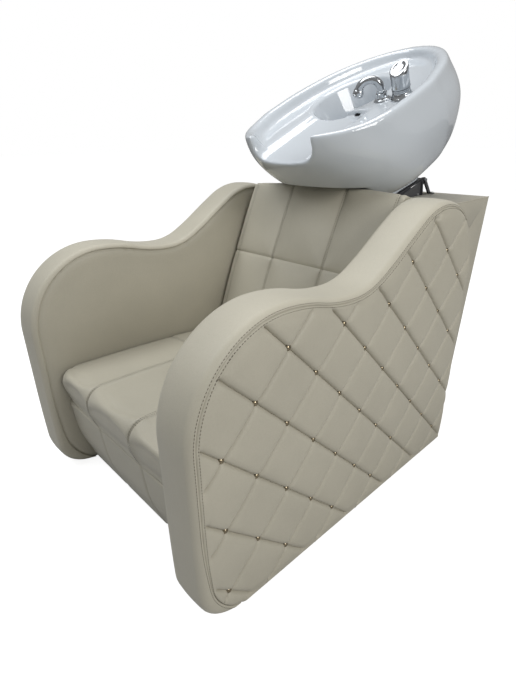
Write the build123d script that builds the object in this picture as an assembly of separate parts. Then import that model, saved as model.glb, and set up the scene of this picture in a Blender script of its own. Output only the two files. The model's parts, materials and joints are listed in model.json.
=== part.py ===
from build123d import *
from math import atan2, cos, degrees, hypot, radians, sin, sqrt, tan
import os

# Hair washing bed: a reclined seat between two quilted arms, with a cabinet behind the back
# and a tilting ceramic basin above it. Millimetres, +X to the sitter's left, front towards -Y, +Z up.
# The origin lies on the floor, under the middle of the whole object.

# Whole object
overall_width = 800.0
overall_length = 1283.0
floor_gap = 3.0
fit_gap = 0.3
cut_over = 2.0

# Arms
arm_height = 766.0
arm_length = 975.0
arm_thickness = 107.0
band_depth = 20.0
band_round = 22.0
band_inner_round = 16.0
band_toe_back = 8.0
band_toe_heading = 150.0
quilt_thickness = 28.0
inner_pad_thickness = 15.0
arm_outline_shares = (
    (0.096, 0.0, 180.0, 0.0),
    (0.0, 0.345, 90.0, 1.2),
    (0.0, 0.561, 90.0, 1.2),
    (0.224, 0.846, 0.0, 1.0),
    (0.45, 0.8055, 0.0, 1.0),
    (0.6087, 0.889, 34.0, 1.0),
    (0.8036, 1.0, 0.0, 1.0),
    (1.0, 0.7115, -90.0, 0.25),
)

# Quilting and studs of the outer arm panels
quilt_step_back = 83.2
quilt_step_down = 81.7
quilt_start_back = 319.8
quilt_start_down = 124.0
deep_groove_width = 30.0
deep_groove_depth = 7.0
fine_groove_width = 20.0
fine_groove_depth = 4.5
stud_radius = 6.5
stud_height = 4.2
stud_round = 3.6
stud_pin_radius = 1.1
stud_pin_length = 9.0
stud_pin_fit = 0.05
stud_rows = ((1, 3), (0, 4), (-2, 5), (-3, 4), (-3, 3), (-2, 2), (-1, 0), (0, 0))
deep_lines = (-5, 8)
fine_lines = (-2, 10)

# Boards and rails of the frame
board = 18.0
skin = 4.3
seat_board_thickness = 15.0
seat_board_top = 225.0
frame_bottom = 12.0
frame_front_back = 162.0
rail_depth = 40.0
rail_height = 110.0
middle_rail_back = 560.0
rear_rail_depth = 20.0
rail_screw_radius = 3.0
rail_screw_length = 55.0
rail_screw_head_radius = 5.0
rail_screw_head = 4.0
rail_screw_shares = (0.25, 0.75)
panel_screw_shares = (0.06, 0.5, 0.94)
arm_bolt_radius = 4.0
arm_bolt_length = 62.0
arm_bolt_head_radius = 8.0
arm_bolt_head = 5.0
arm_bolt_places_shares = ((0.27, 0.20), (0.50, 0.20), (0.80, 0.20), (0.92, 0.55))
glide_radius = 15.0
glide_places_shares = (0.17, 0.43, 0.70, 0.95)

# Seat and front apron
seat_side_gap = 7.0
seat_nose_back = 32.5
seat_top_front = 349.0
seat_top_rear = 322.0
seat_nose_round = 46.0
seat_nose_heading = 115.0
seat_top_heading = 3.0
seat_edge_inset = 22.0
seat_crown = 7.0
seat_side_drop = 9.0
seat_draw_in = 4.0
seat_side_round = 20.0
seat_seam_x = 104.0
seat_cross_seam_back = 403.5
seam_round = 9.0
side_round_shares = (0.0, 0.35, 0.7, 1.0)
seam_round_shares = (0.0, 0.4, 1.0)
seam_width = 14.0
seam_depth = 4.0
apron_top_back = 55.5
apron_knee_back = 67.5
apron_knee_height = 120.0
apron_foot_back = 107.0
apron_thickness = 18.0
apron_board_thickness = 12.0
apron_knee_round = 260.0

# Back
recline = 24.0
back_top = 774.0
back_foot_back = 550.5
back_side_gap = 8.0
back_thickness = 84.0
back_board_thickness = 15.0
back_board_below_top = 30.0
back_seam_x = 100.0
back_row_seam_height = 556.0
back_crown = 9.0
back_top_crown = 14.0
back_draw_in = 3.0
back_top_round = 14.0
back_side_round = 14.0

# Cabinet behind the back
cabinet_top = 724.0
cabinet_rake = 5.5
rear_skin = 3.0
rear_panel_thickness = 15.0
rear_panel_reveal = 4.0
top_opening_half = 112.0
top_opening_front = 262.0
top_opening_rear = 592.0
wood_screw_radius = 2.5
wood_screw_length = 14.0
wood_screw_head_radius = 5.5
wood_screw_head = 2.6
wood_screw_inset = 9.0

# Basin support
tube_side = 30.0
tube_wall = 2.0
tube_flange = 4.0
tube_flange_height = 60.0
tube_front_y = 285.0
tube_rear_y = 560.0
bracket_x = 100.0
bracket_plate = 5.0
bracket_flange = 22.0
bracket_rear_flange = 12.0
bracket_depth = 26.0
bracket_shoulder = 10.0
bracket_rear_low = 553.0
bracket_rear_high = 543.0
bracket_top_rear = 768.0
bracket_ear_y = 566.0
bracket_ear_z = 762.0
bracket_ear_top = 779.0
pivot_y = 387.0
pivot_z = 694.0
pivot_ear = 20.0
pivot_ear_rise = 30.0
tilt_travel = 8.0
shaft_radius = 7.0
shaft_fit = 0.05
shaft_over = 7.4
bush_wall = 2.0
bush_flange_radius = 13.0
bush_flange = 0.9
collar_radius = 13.0
collar_length = 6.0
lug_gap = 1.0
lug_plate = 5.0
lug_flange = 24.0
lug_front = -80.0
lug_rear = 65.0
lug_heel = 8.0
crossbar_side = 16.0
front_bar_place = -98.0
rear_bar_place = 85.0
stop_thickness = 3.0
stop_radius = 7.0
stop_x = 60.0
stay_thickness = 6.0
stay_width = 12.0
stay_top_y = 556.0
stay_top_z = 771.0
stay_foot_y = 597.0
stay_tab = 14.0
stay_tab_thickness = 3.0
m6_radius = 3.0
m6_length = 14.0
m6_head_radius = 5.5
m6_head = 3.5
carrier_half = 94.0
carrier_front = -110.0
carrier_rear = 145.0
carrier_corner = 12.0
carrier_plate = 5.0
drain_opening_radius = 38.0
pad_thickness = 3.0
pad_radius = 15.0
basin_bolt_radius = 4.0
basin_bolt_head_radius = 8.0
basin_bolt_head = 5.0
basin_bolt_depth = 22.0
basin_bolt_x = 66.0
basin_bolt_front = -58.0
basin_bolt_rear = 122.0

# Basin: sections square to the rim's normal, measured from a centre on the rim plane
rim_tilt = 24.4
rim_centre_y = 212.5
rim_centre_z = 1006.0
basin_half = 252.0
basin_reach = 422.0
basin_depth = 300.0
basin_wall = 16.0
basin_shell_wall = 9.0
basin_deck_thickness = 12.0
basin_underside = ((155.0, 779.0), (238.0, 742.0), (262.0, 733.0))
foot_lean = 15.0
foot_y = 431.0
foot_z = 741.0
foot_half = 92.0
foot_front = -85.0
foot_rear = 150.0
foot_corner = 46.0
foot_wall = 11.0
foot_height = 120.0
boss_radius = 17.0
boss_height = 32.0
basin_section_shares = (
    (-0.11, -0.685, 0.945, 0.955, 0.02, 1.9),
    (0.0, -0.675, 0.962, 0.968, 0.025, 1.9),
    (0.167, -0.659, 0.985, 0.985, 0.035, 2.1),
    (0.333, -0.597, 0.975, 1.0, 0.06, 2.35),
    (0.5, -0.514, 0.945, 0.968, 0.095, 2.45),
    (0.667, -0.408, 0.885, 0.905, 0.13, 2.5),
    (0.833, -0.273, 0.77, 0.765, 0.166, 2.4),
    (0.95, -0.142, 0.58, 0.55, 0.178, 2.2),
)
front_power = 2.5
rim_front_rise = 26.0
rim_front_start_share = -0.30
rim_rear_drop = 18.0
rim_rear_share = 1.2
rim_front_heading = -10.0
rim_rear_heading = -6.0
oval_steps = 12
recess_floor_depth = 34.0
recess_draft = 22.0
bowl_x = -45.0
bowl_u = 115.0
bowl_half_x = 112.0
bowl_half_u = 140.0
bowl_floor_half = 60.0
bowl_floor_z = 806.0
bowl_wall = 12.0
neck_half = 104.0
neck_drop = 52.0
neck_round = 42.0

# Waste
drain_y = 430.0
drain_radius = 22.0
drain_flange_radius = 31.0
drain_flange_lift = 2.5
drain_tail_length = 78.0
drain_nut_radius = 31.0
drain_nut_height = 9.0
drain_thread_length = 14.0
drain_tail_radius = 20.0
drain_coupling_radius = 27.0
drain_coupling_height = 11.0
drain_coupling_over = 6.0
strainer_radius = 19.0
strainer_height = 3.0
strainer_ledge = 2.5
strainer_hole_radius = 2.4
strainer_ring_radius = 12.0
strainer_holes = 8
strainer_knob_radius = 4.0
strainer_knob_height = 7.0

# Mixer and hand shower on the basin's deck
mixer_x = 155.0
mixer_u = 65.0
mixer_base_radius = 31.0
mixer_base_height = 14.0
mixer_base_round = 6.0
mixer_collar_radius = 24.0
mixer_collar_height = 9.0
mixer_handle_radius = 25.0
mixer_handle_height = 62.0
mixer_handle_slant = 26.0
mixer_handle_bore = 16.0
mixer_handle_round = 3.0
mixer_dish_radius = 17.0
mixer_dish_depth = 4.0
mixer_spigot_radius = 12.0
mixer_spigot_height = 24.0
mixer_play = 0.05
mixer_gap = 0.9
mixer_pin_back = 20.5
mixer_pin_rise = 3.5
mixer_pin_radius = 1.3
mixer_pin_half = 9.0
mixer_lug_radius = 2.6
mixer_lug_half = 3.0
mixer_neck_half = 1.8
mixer_slot_play = 0.4
deck_thread_radius = 13.0
deck_thread_length = 30.0
deck_nut_radius = 20.0
deck_nut_height = 9.0
mixer_tail_radius = 5.0
mixer_tail_length = 45.0
mixer_tail_spread = 6.5
mixer_tail_depth = 8.0
mixer_tail_neck_radius = 4.5
spray_x = 98.0
spray_u = 58.0
spray_flange_radius = 24.0
spray_flange_height = 5.0
spray_sleeve_radius = 15.0
spray_sleeve_height = 14.0
spray_stem_radius = 9.5
spray_stem_length = 52.0
spray_play = 0.1
spray_collar_radius = 12.5
spray_collar_height = 6.0
spray_neck_rise = 5.0
spray_neck_bend = 27.0
spray_neck_run = 8.0
spray_neck_radius = 8.5
spray_turn = 207.0
spray_head_radius = 15.5
spray_head_taper = 9.0
spray_head_height = 16.0
spray_face_radius = 13.0
spray_face_height = 2.5

# Worked out from the values above
half_width = overall_width / 2
front_y = -overall_length / 2
rear_y = overall_length / 2
arm_inner_x = half_width - arm_thickness
skin_x = arm_inner_x - fit_gap
seat_half_width = arm_inner_x - seat_side_gap
back_half_width = arm_inner_x - back_side_gap
board_x = skin_x - skin
board_inner_x = board_x - board
seat_board_bottom = seat_board_top - seat_board_thickness
side_board_top = cabinet_top - skin - board
back_slope = tan(radians(recline))
back_foot_y = front_y + back_foot_back
rim_n = (0.0, -sin(radians(rim_tilt)), cos(radians(rim_tilt)))
rim_plane = Plane(origin=(0, rim_centre_y, rim_centre_z), x_dir=(1, 0, 0), z_dir=rim_n)
foot_n = (0.0, -sin(radians(foot_lean)), cos(radians(foot_lean)))
foot_plane = Plane(origin=(0, foot_y, foot_z), x_dir=(1, 0, 0), z_dir=foot_n)
carrier_top = -pad_thickness
carrier_bottom = carrier_top - carrier_plate
lug_outer = bracket_x - lug_gap
lug_inner = lug_outer - lug_plate
bracket_outer = bracket_x + bracket_plate
tube_top = side_board_top
deck_n = -recess_floor_depth
deck_under = deck_n - basin_deck_thickness


def save(shape, name):
    export_step(shape, f"parts/{name}.step")


def mirrored(shape, side):
    return shape if side > 0 else mirror(shape, about=Plane.YZ)


def group(shapes):
    return Compound(children=list(shapes))


def block(x0, x1, y0, y1, z0, z1):
    size = (x1 - x0, y1 - y0, z1 - z0)
    middle = ((x0 + x1) / 2, (y0 + y1) / 2, (z0 + z1) / 2)
    return Pos(*middle) * Box(*size)


def along_x(face, x0, x1):
    """A side view face, drawn in (y, z), pushed along X from x0 to x1."""
    return extrude(Plane.YZ.offset(x0) * face, amount=x1 - x0, dir=(1, 0, 0))


def side_prism(points, x0, x1):
    return along_x(make_face(Polyline(*points, close=True)), x0, x1)


def rod_x(radius, x0, x1, y, z):
    disc = Plane.YZ.offset(x0) * Pos(y, z) * Circle(radius)
    return extrude(disc, amount=x1 - x0)


def rod_z(radius, x, y, z0, z1):
    return extrude(Plane.XY.offset(z0) * Pos(x, y) * Circle(radius), amount=z1 - z0)


def rim_rod(radius, x, u, n0, n1):
    """A cylinder along the rim's normal, from height n0 to n1 over the rim plane."""
    return extrude(rim_plane.offset(n0) * Pos(x, u) * Circle(radius), amount=n1 - n0)


def rim_cone(radius0, radius1, x, u, n0, n1):
    low = rim_plane.offset(n0) * Pos(x, u) * Circle(radius0)
    high = rim_plane.offset(n1) * Pos(x, u) * Circle(radius1)
    return loft([low, high])


def heading(angle):
    return (cos(radians(angle)), sin(radians(angle)))


def smooth_run(start, start_angle, end, end_angle):
    """Two tangent arcs, or one straight line, from one point and heading to the next."""
    t0 = heading(start_angle)
    t1 = heading(end_angle)
    v = (end[0] - start[0], end[1] - start[1])
    if abs(v[0] * t0[1] - v[1] * t0[0]) < 1e-6 * hypot(*v):
        return [Line(start, end)]
    same = 1 - (t0[0] * t1[0] + t0[1] * t1[1])
    along = v[0] * (t0[0] + t1[0]) + v[1] * (t0[1] + t1[1])
    square = v[0] ** 2 + v[1] ** 2
    if same < 1e-9:
        reach = square / (4 * (v[0] * t1[0] + v[1] * t1[1]))
    else:
        reach = (-along + sqrt(along**2 + 2 * same * square)) / (2 * same)
    middle = tuple((start[i] + end[i] + reach * (t0[i] - t1[i])) / 2 for i in (0, 1))
    first = TangentArc(start, middle, tangent=t0)
    second = TangentArc(middle, end, tangent=(-t1[0], -t1[1]), tangent_from_first=False)
    return [first, second]


# Arms

def arm_nodes(inset):
    """Points and headings of the arm's outline, or of the seam inside it when inset is above zero."""
    nodes = []
    for back, up, angle, depth in arm_outline_shares:
        y = front_y + back * arm_length
        z = floor_gap + up * (arm_height - floor_gap)
        inward = heading(angle - 90)
        nodes.append((y + inset * depth * inward[0], z + inset * depth * inward[1], angle))
    if inset > 0:
        nodes[0] = (nodes[0][0] + band_toe_back, nodes[0][1], band_toe_heading)
    return nodes


def arm_face(inset):
    nodes = arm_nodes(inset)
    edges = []
    for (y0, z0, a0), (y1, z1, a1) in zip(nodes, nodes[1:]):
        edges += smooth_run((y0, z0), a0, (y1, z1), a1)
    first = nodes[0]
    last = nodes[-1]
    corner = (last[0], floor_gap)
    edges.append(Line((last[0], last[1]), corner))
    edges.append(Line(corner, (first[0], first[1])))
    return make_face(Wire(edges))


def arm_slab(inset, x0, x1):
    return along_x(arm_face(inset), x0, x1)


def arm_blank():
    """The whole arm on the sitter's left, with its long edges rounded."""
    slab = arm_slab(0, arm_inner_x, half_width)
    outer = []
    inner = []
    for edge in slab.edges():
        middle = edge @ 0.5
        flat = abs((edge @ 0).X - (edge @ 1).X) < fit_gap
        if not flat or middle.Z < 2 * floor_gap:
            continue
        (outer if middle.X > half_width - band_depth else inner).append(edge)
    slab = fillet(outer, band_round)
    keep = [e for e in slab.edges() if abs((e @ 0).X - arm_inner_x) < fit_gap / 2]
    keep = [e for e in keep if abs((e @ 1).X - arm_inner_x) < fit_gap / 2]
    keep = [e for e in keep if (e @ 0.5).Z > 2 * floor_gap]
    return fillet(keep, band_inner_round)


def groove_cutter(y, z, angle, width, depth):
    """A long wedge lying on the outer face, along a heading in the side view."""
    run = 2 * arm_length
    along = heading(angle)
    over = width * cut_over / depth
    start = (half_width, y - along[0] * run / 2, z - along[1] * run / 2)
    plane = Plane(origin=start, x_dir=(1, 0, 0), z_dir=(0, along[0], along[1]))
    wedge = Polygon((-depth, 0), (cut_over, -(width + over) / 2), (cut_over, (width + over) / 2), align=None)
    return extrude(plane * wedge, amount=run, dir=plane.z_dir)


def quilt_place(line, step):
    """The crossing of deep line number line and fine line number step."""
    y = front_y + quilt_start_back + quilt_step_back * (step - line)
    z = arm_height - quilt_start_down - quilt_step_down * (line + step)
    return y, z


def stud_places():
    return [quilt_place(a, b) for b, (low, high) in enumerate(stud_rows) for a in range(low, high + 1)]


def quilt_cutters():
    slope = degrees(atan2(quilt_step_down, quilt_step_back))
    cutters = []
    for line in range(*deep_lines):
        y, z = quilt_place(line, 2)
        cutters.append(groove_cutter(y, z, -slope, deep_groove_width, deep_groove_depth))
    for step in range(*fine_lines):
        y, z = quilt_place(1, step)
        cutters.append(groove_cutter(y, z, slope, fine_groove_width, fine_groove_depth))
    return cutters


def quilt_panel(blank):
    face_x = half_width - quilt_thickness
    panel = blank & arm_slab(band_depth + fit_gap, face_x, half_width)
    for cutter in quilt_cutters():
        panel = panel - cutter
    pocket_x = half_width - deep_groove_depth
    pockets = []
    for y, z in stud_places():
        pocket = rod_x(stud_radius + stud_pin_fit, pocket_x, half_width + cut_over, y, z)
        pin = rod_x(stud_pin_radius + stud_pin_fit, pocket_x - stud_pin_length - cut_over, pocket_x, y, z)
        pockets += [pocket, pin]
    return panel - pockets


def studs():
    """Domed studs: each a rounded cap on a short pin."""
    base_x = half_width - deep_groove_depth
    made = []
    for y, z in stud_places():
        cap = rod_x(stud_radius, base_x, base_x + stud_height, y, z)
        cap = fillet(cap.edges().group_by(Axis.X)[-1], stud_round)
        made.append(cap + rod_x(stud_pin_radius, base_x - stud_pin_length, base_x, y, z))
    return made


def bolt_places():
    places = []
    for back, up in arm_bolt_places_shares:
        places.append((front_y + back * arm_length, up * arm_height))
    return places


def arm_bolt_holes(over):
    x0 = board_inner_x - cut_over
    x1 = board_inner_x + arm_bolt_length + cut_over
    return [rod_x(arm_bolt_radius + over, x0, x1, y, z) for y, z in bolt_places()]


def build_arms():
    blank = arm_blank()
    band = blank - arm_slab(band_depth, arm_inner_x - cut_over, half_width + cut_over)
    core_x0 = arm_inner_x + inner_pad_thickness
    core_x1 = half_width - quilt_thickness - fit_gap
    core = arm_slab(band_depth + fit_gap, core_x0 + fit_gap, core_x1)
    core = core - arm_bolt_holes(stud_pin_fit)
    pad = blank & arm_slab(band_depth + fit_gap, arm_inner_x, core_x0)
    pad = pad - arm_bolt_holes(stud_pin_fit)
    quilt = quilt_panel(blank)
    heads = studs()
    for side, name in ((1, "left"), (-1, "right")):
        save(mirrored(band, side), f"{name}_arm_band")
        save(mirrored(core, side), f"{name}_arm_core")
        save(mirrored(pad, side), f"{name}_arm_inner_pad")
        save(mirrored(quilt, side), f"{name}_arm_quilt")
        save(group([mirrored(head, side) for head in heads]), f"{name}_arm_studs")


def build_arm_bolts():
    bolts = []
    for y, z in bolt_places():
        shank = rod_x(arm_bolt_radius, board_inner_x, board_inner_x + arm_bolt_length, y, z)
        head = rod_x(arm_bolt_head_radius, board_inner_x - arm_bolt_head, board_inner_x, y, z)
        bolts.append(shank + head)
    save(group(bolts + [mirrored(bolt, -1) for bolt in bolts]), "arm_bolts")


def build_glides():
    x = half_width - arm_thickness / 2
    feet = []
    for share in glide_places_shares:
        y = front_y + share * arm_length
        for side in (1, -1):
            feet.append(rod_z(glide_radius, side * x, y, 0, floor_gap))
    save(group(feet), "floor_glides")


# Frame

def rear_y_at(z, inset=0.0):
    """The raked rear of the cabinet at a height, less an inset measured along Y."""
    return rear_y - inset - (cabinet_top - z) * tan(radians(cabinet_rake))


def back_y_at(z, depth):
    """Points behind the back's front surface, by a depth square to it."""
    return back_foot_y + (z - seat_board_top) * back_slope + depth / cos(radians(recline))


def side_outline(top, rear_inset, back_depth):
    front = front_y + frame_front_back
    return (
        (front, frame_bottom),
        (front, seat_board_bottom),
        (back_y_at(seat_board_bottom, back_depth), seat_board_bottom),
        (back_y_at(top, back_depth), top),
        (rear_y_at(top, rear_inset), top),
        (rear_y_at(frame_bottom, rear_inset), frame_bottom),
    )


def rail_spans():
    """Each rail's name, with its span in Y and Z."""
    front = front_y + frame_front_back
    middle = front_y + middle_rail_back
    rear = rear_y_at(frame_bottom, rear_inset_of_boards())
    low = seat_board_bottom - rail_height
    return (
        ("front_rail", front, front + rail_depth, low, seat_board_bottom),
        ("middle_rail", middle, middle + rail_depth, low, seat_board_bottom),
        ("rear_rail", rear - rear_rail_depth, rear, frame_bottom, frame_bottom + rail_height),
    )


def rear_inset_of_boards():
    return (rear_skin + rear_panel_thickness) / cos(radians(cabinet_rake))


def rail_screw_places():
    places = []
    for _, y0, y1, z0, z1 in rail_spans():
        for share in rail_screw_shares:
            places.append(((y0 + y1) / 2, z0 + share * (z1 - z0)))
    return places


def rail_screw(y, z, over):
    head_x = board_x - rail_screw_head
    shank = rod_x(rail_screw_radius + over, board_x - rail_screw_length, head_x, y, z)
    head = rod_x(rail_screw_head_radius + over, head_x, board_x, y, z)
    return shank + head


def build_frame():
    depth = back_thickness + back_board_thickness + 2 * fit_gap
    outline = side_outline(side_board_top, rear_inset_of_boards(), depth)
    side = side_prism(outline, board_inner_x, board_x)
    side = side - arm_bolt_holes(stud_pin_fit)
    for y, z in rail_screw_places():
        side = side - rail_screw(y, z, stud_pin_fit)
    for y, z in tube_screw_places():
        side = side - tube_screw(1, y, z, stud_pin_fit)
    cover = side_prism(side_outline(cabinet_top, 0.0, depth), board_x, skin_x)
    cover = cover - arm_bolt_holes(stud_pin_fit)
    for sign, name in ((1, "left"), (-1, "right")):
        save(mirrored(side, sign), f"{name}_side_board")
        save(mirrored(cover, sign), f"{name}_side_cover")
    screws = [rail_screw(y, z, 0.0) for y, z in rail_screw_places()]
    for name, y0, y1, z0, z1 in rail_spans():
        rail = block(-board_inner_x, board_inner_x, y0, y1, z0, z1)
        if name == "rear_rail":
            rail = rail & side_prism(outline, -board_x, board_x)
        for y, z in rail_screw_places():
            hole = rail_screw(y, z, stud_pin_fit)
            rail = rail - hole - mirrored(hole, -1)
        save(rail, name)
    save(group(screws + [mirrored(screw, -1) for screw in screws]), "rail_screws")


def top_opening(z0, z1):
    return block(-top_opening_half, top_opening_half, top_opening_front, top_opening_rear, z0, z1)


def build_cabinet_top():
    depth = back_thickness + back_board_thickness + 2 * fit_gap
    z1 = cabinet_top - skin
    z0 = z1 - board
    inset = rear_inset_of_boards()
    points = (
        (back_y_at(z0, depth), z0),
        (back_y_at(z1, depth), z1),
        (rear_y_at(z1, inset), z1),
        (rear_y_at(z0, inset), z0),
    )
    cutter = top_opening(z0 - cut_over, cabinet_top + cut_over)
    lid = side_prism(points, -board_x, board_x) - cutter
    for plane in stay_foot_planes():
        lid = lid - m6_screw(plane, stud_pin_fit)
    save(lid, "cabinet_top_board")
    points = (
        (back_y_at(z1, depth), z1),
        (back_y_at(cabinet_top, depth), cabinet_top),
        (rear_y_at(cabinet_top), cabinet_top),
        (rear_y_at(z1), z1),
    )
    cover = side_prism(points, -board_x, board_x) - cutter
    for plane in stay_foot_planes():
        cover = cover - m6_screw(plane, stud_pin_fit)
    save(cover, "cabinet_top_cover")


def rear_slab(outer, thickness, side_inset, low, high):
    """A sheet parallel to the raked rear, its outer face a depth in from it."""
    shift = cos(radians(cabinet_rake))
    near = outer / shift
    far = (outer + thickness) / shift
    points = ((rear_y_at(low, near), low), (rear_y_at(high, near), high),
              (rear_y_at(high, far), high), (rear_y_at(low, far), low))
    half = board_x - side_inset
    return side_prism(points, -half, half)


def wood_screw(x, z, over):
    plane = Plane(origin=(x, rear_y_at(z), z), x_dir=(1, 0, 0),
                  z_dir=(0, cos(radians(cabinet_rake)), -sin(radians(cabinet_rake))))
    shank = extrude(plane * Circle(wood_screw_radius + over), amount=-wood_screw_length)
    head = extrude(plane * Circle(wood_screw_head_radius), amount=wood_screw_head)
    return shank if over > 0 else shank + head


def tube_screw(side, y, z, over):
    x = side * (board_inner_x - tube_flange)
    plane = Plane(origin=(x, y, z), x_dir=(0, 1, 0), z_dir=(-side, 0, 0))
    shank = extrude(plane * Circle(wood_screw_radius + over), amount=-wood_screw_length)
    head = extrude(plane * Circle(wood_screw_head_radius), amount=wood_screw_head)
    return shank if over > 0 else shank + head


def tube_screw_places():
    z = tube_top - tube_flange_height + tube_side / 2 - wood_screw_head_radius
    return [(y, z) for y in (tube_front_y, tube_rear_y)]


def build_rear_panel():
    low = frame_bottom
    high = cabinet_top - skin - fit_gap
    panel = rear_slab(rear_skin, rear_panel_thickness, rear_panel_reveal, low, high)
    cover = rear_slab(0.0, rear_skin, rear_panel_reveal, low, high)
    screws = []
    x = board_x - rear_panel_reveal - wood_screw_inset
    for share in panel_screw_shares:
        z = low + share * (high - low)
        for side in (1, -1):
            screws.append(wood_screw(side * x, z, 0.0))
            hole = wood_screw(side * x, z, stud_pin_fit)
            panel = panel - hole
            cover = cover - hole
    save(panel, "rear_panel_board")
    save(cover, "rear_panel_cover")
    for y, z in tube_screw_places():
        screws += [tube_screw(side, y, z, 0.0) for side in (1, -1)]
    save(group(screws), "wood_screws")


# Seat

def cushion_stations(half, seam_x, side_round, drop):
    """Places across a cushion, each with how far its surface lies under the crown's top there."""
    places = {0.0: 0.0}
    for share in side_round_shares:
        across = half - side_round * (1 - share)
        places[across] = side_round * (1 - sqrt(1 - share**2))
    for share in seam_round_shares:
        for side in (-1, 1):
            places[seam_x + side * share * seam_round] = seam_depth * (1 - share) ** 2
    stations = []
    for across, sink in places.items():
        total = sink + drop * (across / half) ** 2
        stations += [(across, total)] if across == 0 else [(across, total), (-across, total)]
    return sorted(stations)


def cushion_body(side_face, stations):
    """One closed body through side view faces, each set across the cushion at its station."""
    sections = [Plane.YZ.offset(x) * side_face(sink) for x, sink in stations]
    return loft(sections, ruled=True)


def seam_wedge(y, z, lean, half):
    """A shallow wedge across the whole width, its point seam_depth below the surface at y, z."""
    out = heading(lean)
    side = heading(lean - 90)
    rise = cut_over + seam_crown_allowance()
    wide = seam_width / 2 * (rise + seam_depth) / seam_depth
    points = ((y - seam_depth * out[0], z - seam_depth * out[1]),
              (y + rise * out[0] + wide * side[0], z + rise * out[1] + wide * side[1]),
              (y + rise * out[0] - wide * side[0], z + rise * out[1] - wide * side[1]))
    return side_prism(points, -half - cut_over, half + cut_over)


def seam_crown_allowance():
    return max(seat_crown, back_crown)


def seat_side_face(sink):
    """Side view of the seat cushion: crowned top, rounded nose, flat underside, leaning rear."""
    nose_y = front_y + seat_nose_back + sink
    base = seat_board_top + fit_gap
    lower = nose_y + seat_edge_inset
    top_start = nose_y + seat_nose_round
    nose_z = seat_top_front - seat_nose_round - sink
    front_z = seat_top_front - sink
    rear_z = seat_top_rear - sink
    rear_top = back_y_at(rear_z, 0) - back_crown
    rear_low = back_y_at(base, 0) - back_crown
    middle = ((top_start + rear_top) / 2, (front_z + rear_z) / 2 + seat_crown)
    edges = smooth_run((lower, base), seat_nose_heading, (nose_y, nose_z), 90.0)
    edges += smooth_run((nose_y, nose_z), 90.0, (top_start, front_z), seat_top_heading)
    edges.append(ThreePointArc((top_start, front_z), middle, (rear_top, rear_z)))
    edges.append(Line((rear_top, rear_z), (rear_low, base)))
    edges.append(Line((rear_low, base), (lower, base)))
    return make_face(Wire(edges))


def drawn_sides(half, low, high, draw_in):
    """A front view whose two sides bow inwards, to trim a cushion with."""
    top = high + cut_over
    base = low - cut_over
    middle = (low + high) / 2
    edges = [
        Line((-half, top), (half, top)),
        ThreePointArc((half, top), (half - draw_in, middle), (half, base)),
        Line((half, base), (-half, base)),
        ThreePointArc((-half, base), (draw_in - half, middle), (-half, top)),
    ]
    return make_face(Wire(edges))


def build_seat():
    base = seat_board_top + fit_gap
    stations = cushion_stations(seat_half_width, seat_seam_x, seat_side_round, seat_side_drop)
    body = cushion_body(seat_side_face, stations)
    seam_y = front_y + seat_cross_seam_back
    top_start = front_y + seat_nose_back + seat_nose_round
    rear_top = back_y_at(seat_top_rear, 0) - back_crown
    share = (seam_y - top_start) / (rear_top - top_start)
    seam_z = seat_top_front + share * (seat_top_rear - seat_top_front) + 4 * seat_crown * share * (1 - share)
    body = body - seam_wedge(seam_y, seam_z, 90.0, seat_half_width)
    front_plane = Plane(origin=(0, rear_top, 0), x_dir=(1, 0, 0), z_dir=(0, -1, 0))
    sides = drawn_sides(seat_half_width, base, seat_top_front, seat_draw_in)
    trim = extrude(front_plane * sides, amount=overall_length, both=True)
    save(body & trim, "seat_cushion")
    board_rear = back_y_at(seat_board_bottom, back_thickness) - 2 * fit_gap
    lean_in = (apron_knee_back - apron_top_back) * seat_board_thickness / (seat_board_top - apron_knee_height)
    board_front = front_y + apron_top_back + apron_thickness + lean_in + 2 * fit_gap
    save(block(-board_x, board_x, board_front, board_rear, seat_board_bottom, seat_board_top), "seat_board")


def build_apron():
    """The padded apron slopes back under the seat to the floor."""
    top = (front_y + apron_top_back, seat_board_top)
    knee = (front_y + apron_knee_back, apron_knee_height)
    foot = (front_y + apron_foot_back, floor_gap)
    outline = (top, knee, foot)

    def shifted(depth):
        return tuple((y + depth, z) for y, z in outline)

    pad = side_prism(outline + tuple(reversed(shifted(apron_thickness))), -skin_x, skin_x)
    knees = [e for e in pad.edges().filter_by(Axis.X) if abs((e @ 0.5).Z - knee[1]) < fit_gap]
    save(fillet(knees, apron_knee_round), "front_apron")
    near = shifted(apron_thickness + fit_gap)
    far = shifted(apron_thickness + fit_gap + apron_board_thickness)
    backing = side_prism(near + tuple(reversed(far)), -skin_x, skin_x)
    knees = [e for e in backing.edges().filter_by(Axis.X) if abs((e @ 0.5).Z - knee[1]) < fit_gap]
    backing = fillet(knees, apron_knee_round)
    above = block(-half_width, half_width, front_y, rear_y, seat_board_bottom - fit_gap, cabinet_top)
    save(backing - above, "apron_board")


# Back

def back_point(rise, out):
    """A side view point, up the back's slope from its foot and out from its front surface."""
    lean = radians(recline)
    y = back_foot_y + rise * sin(lean) - out * cos(lean)
    z = seat_board_top + rise * cos(lean) + out * sin(lean)
    return (y, z)


def back_foot_rise(out):
    """How far up the slope the underside lies, at a distance out from the front surface."""
    lean = radians(recline)
    return (fit_gap - out * sin(lean)) / cos(lean)


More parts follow.
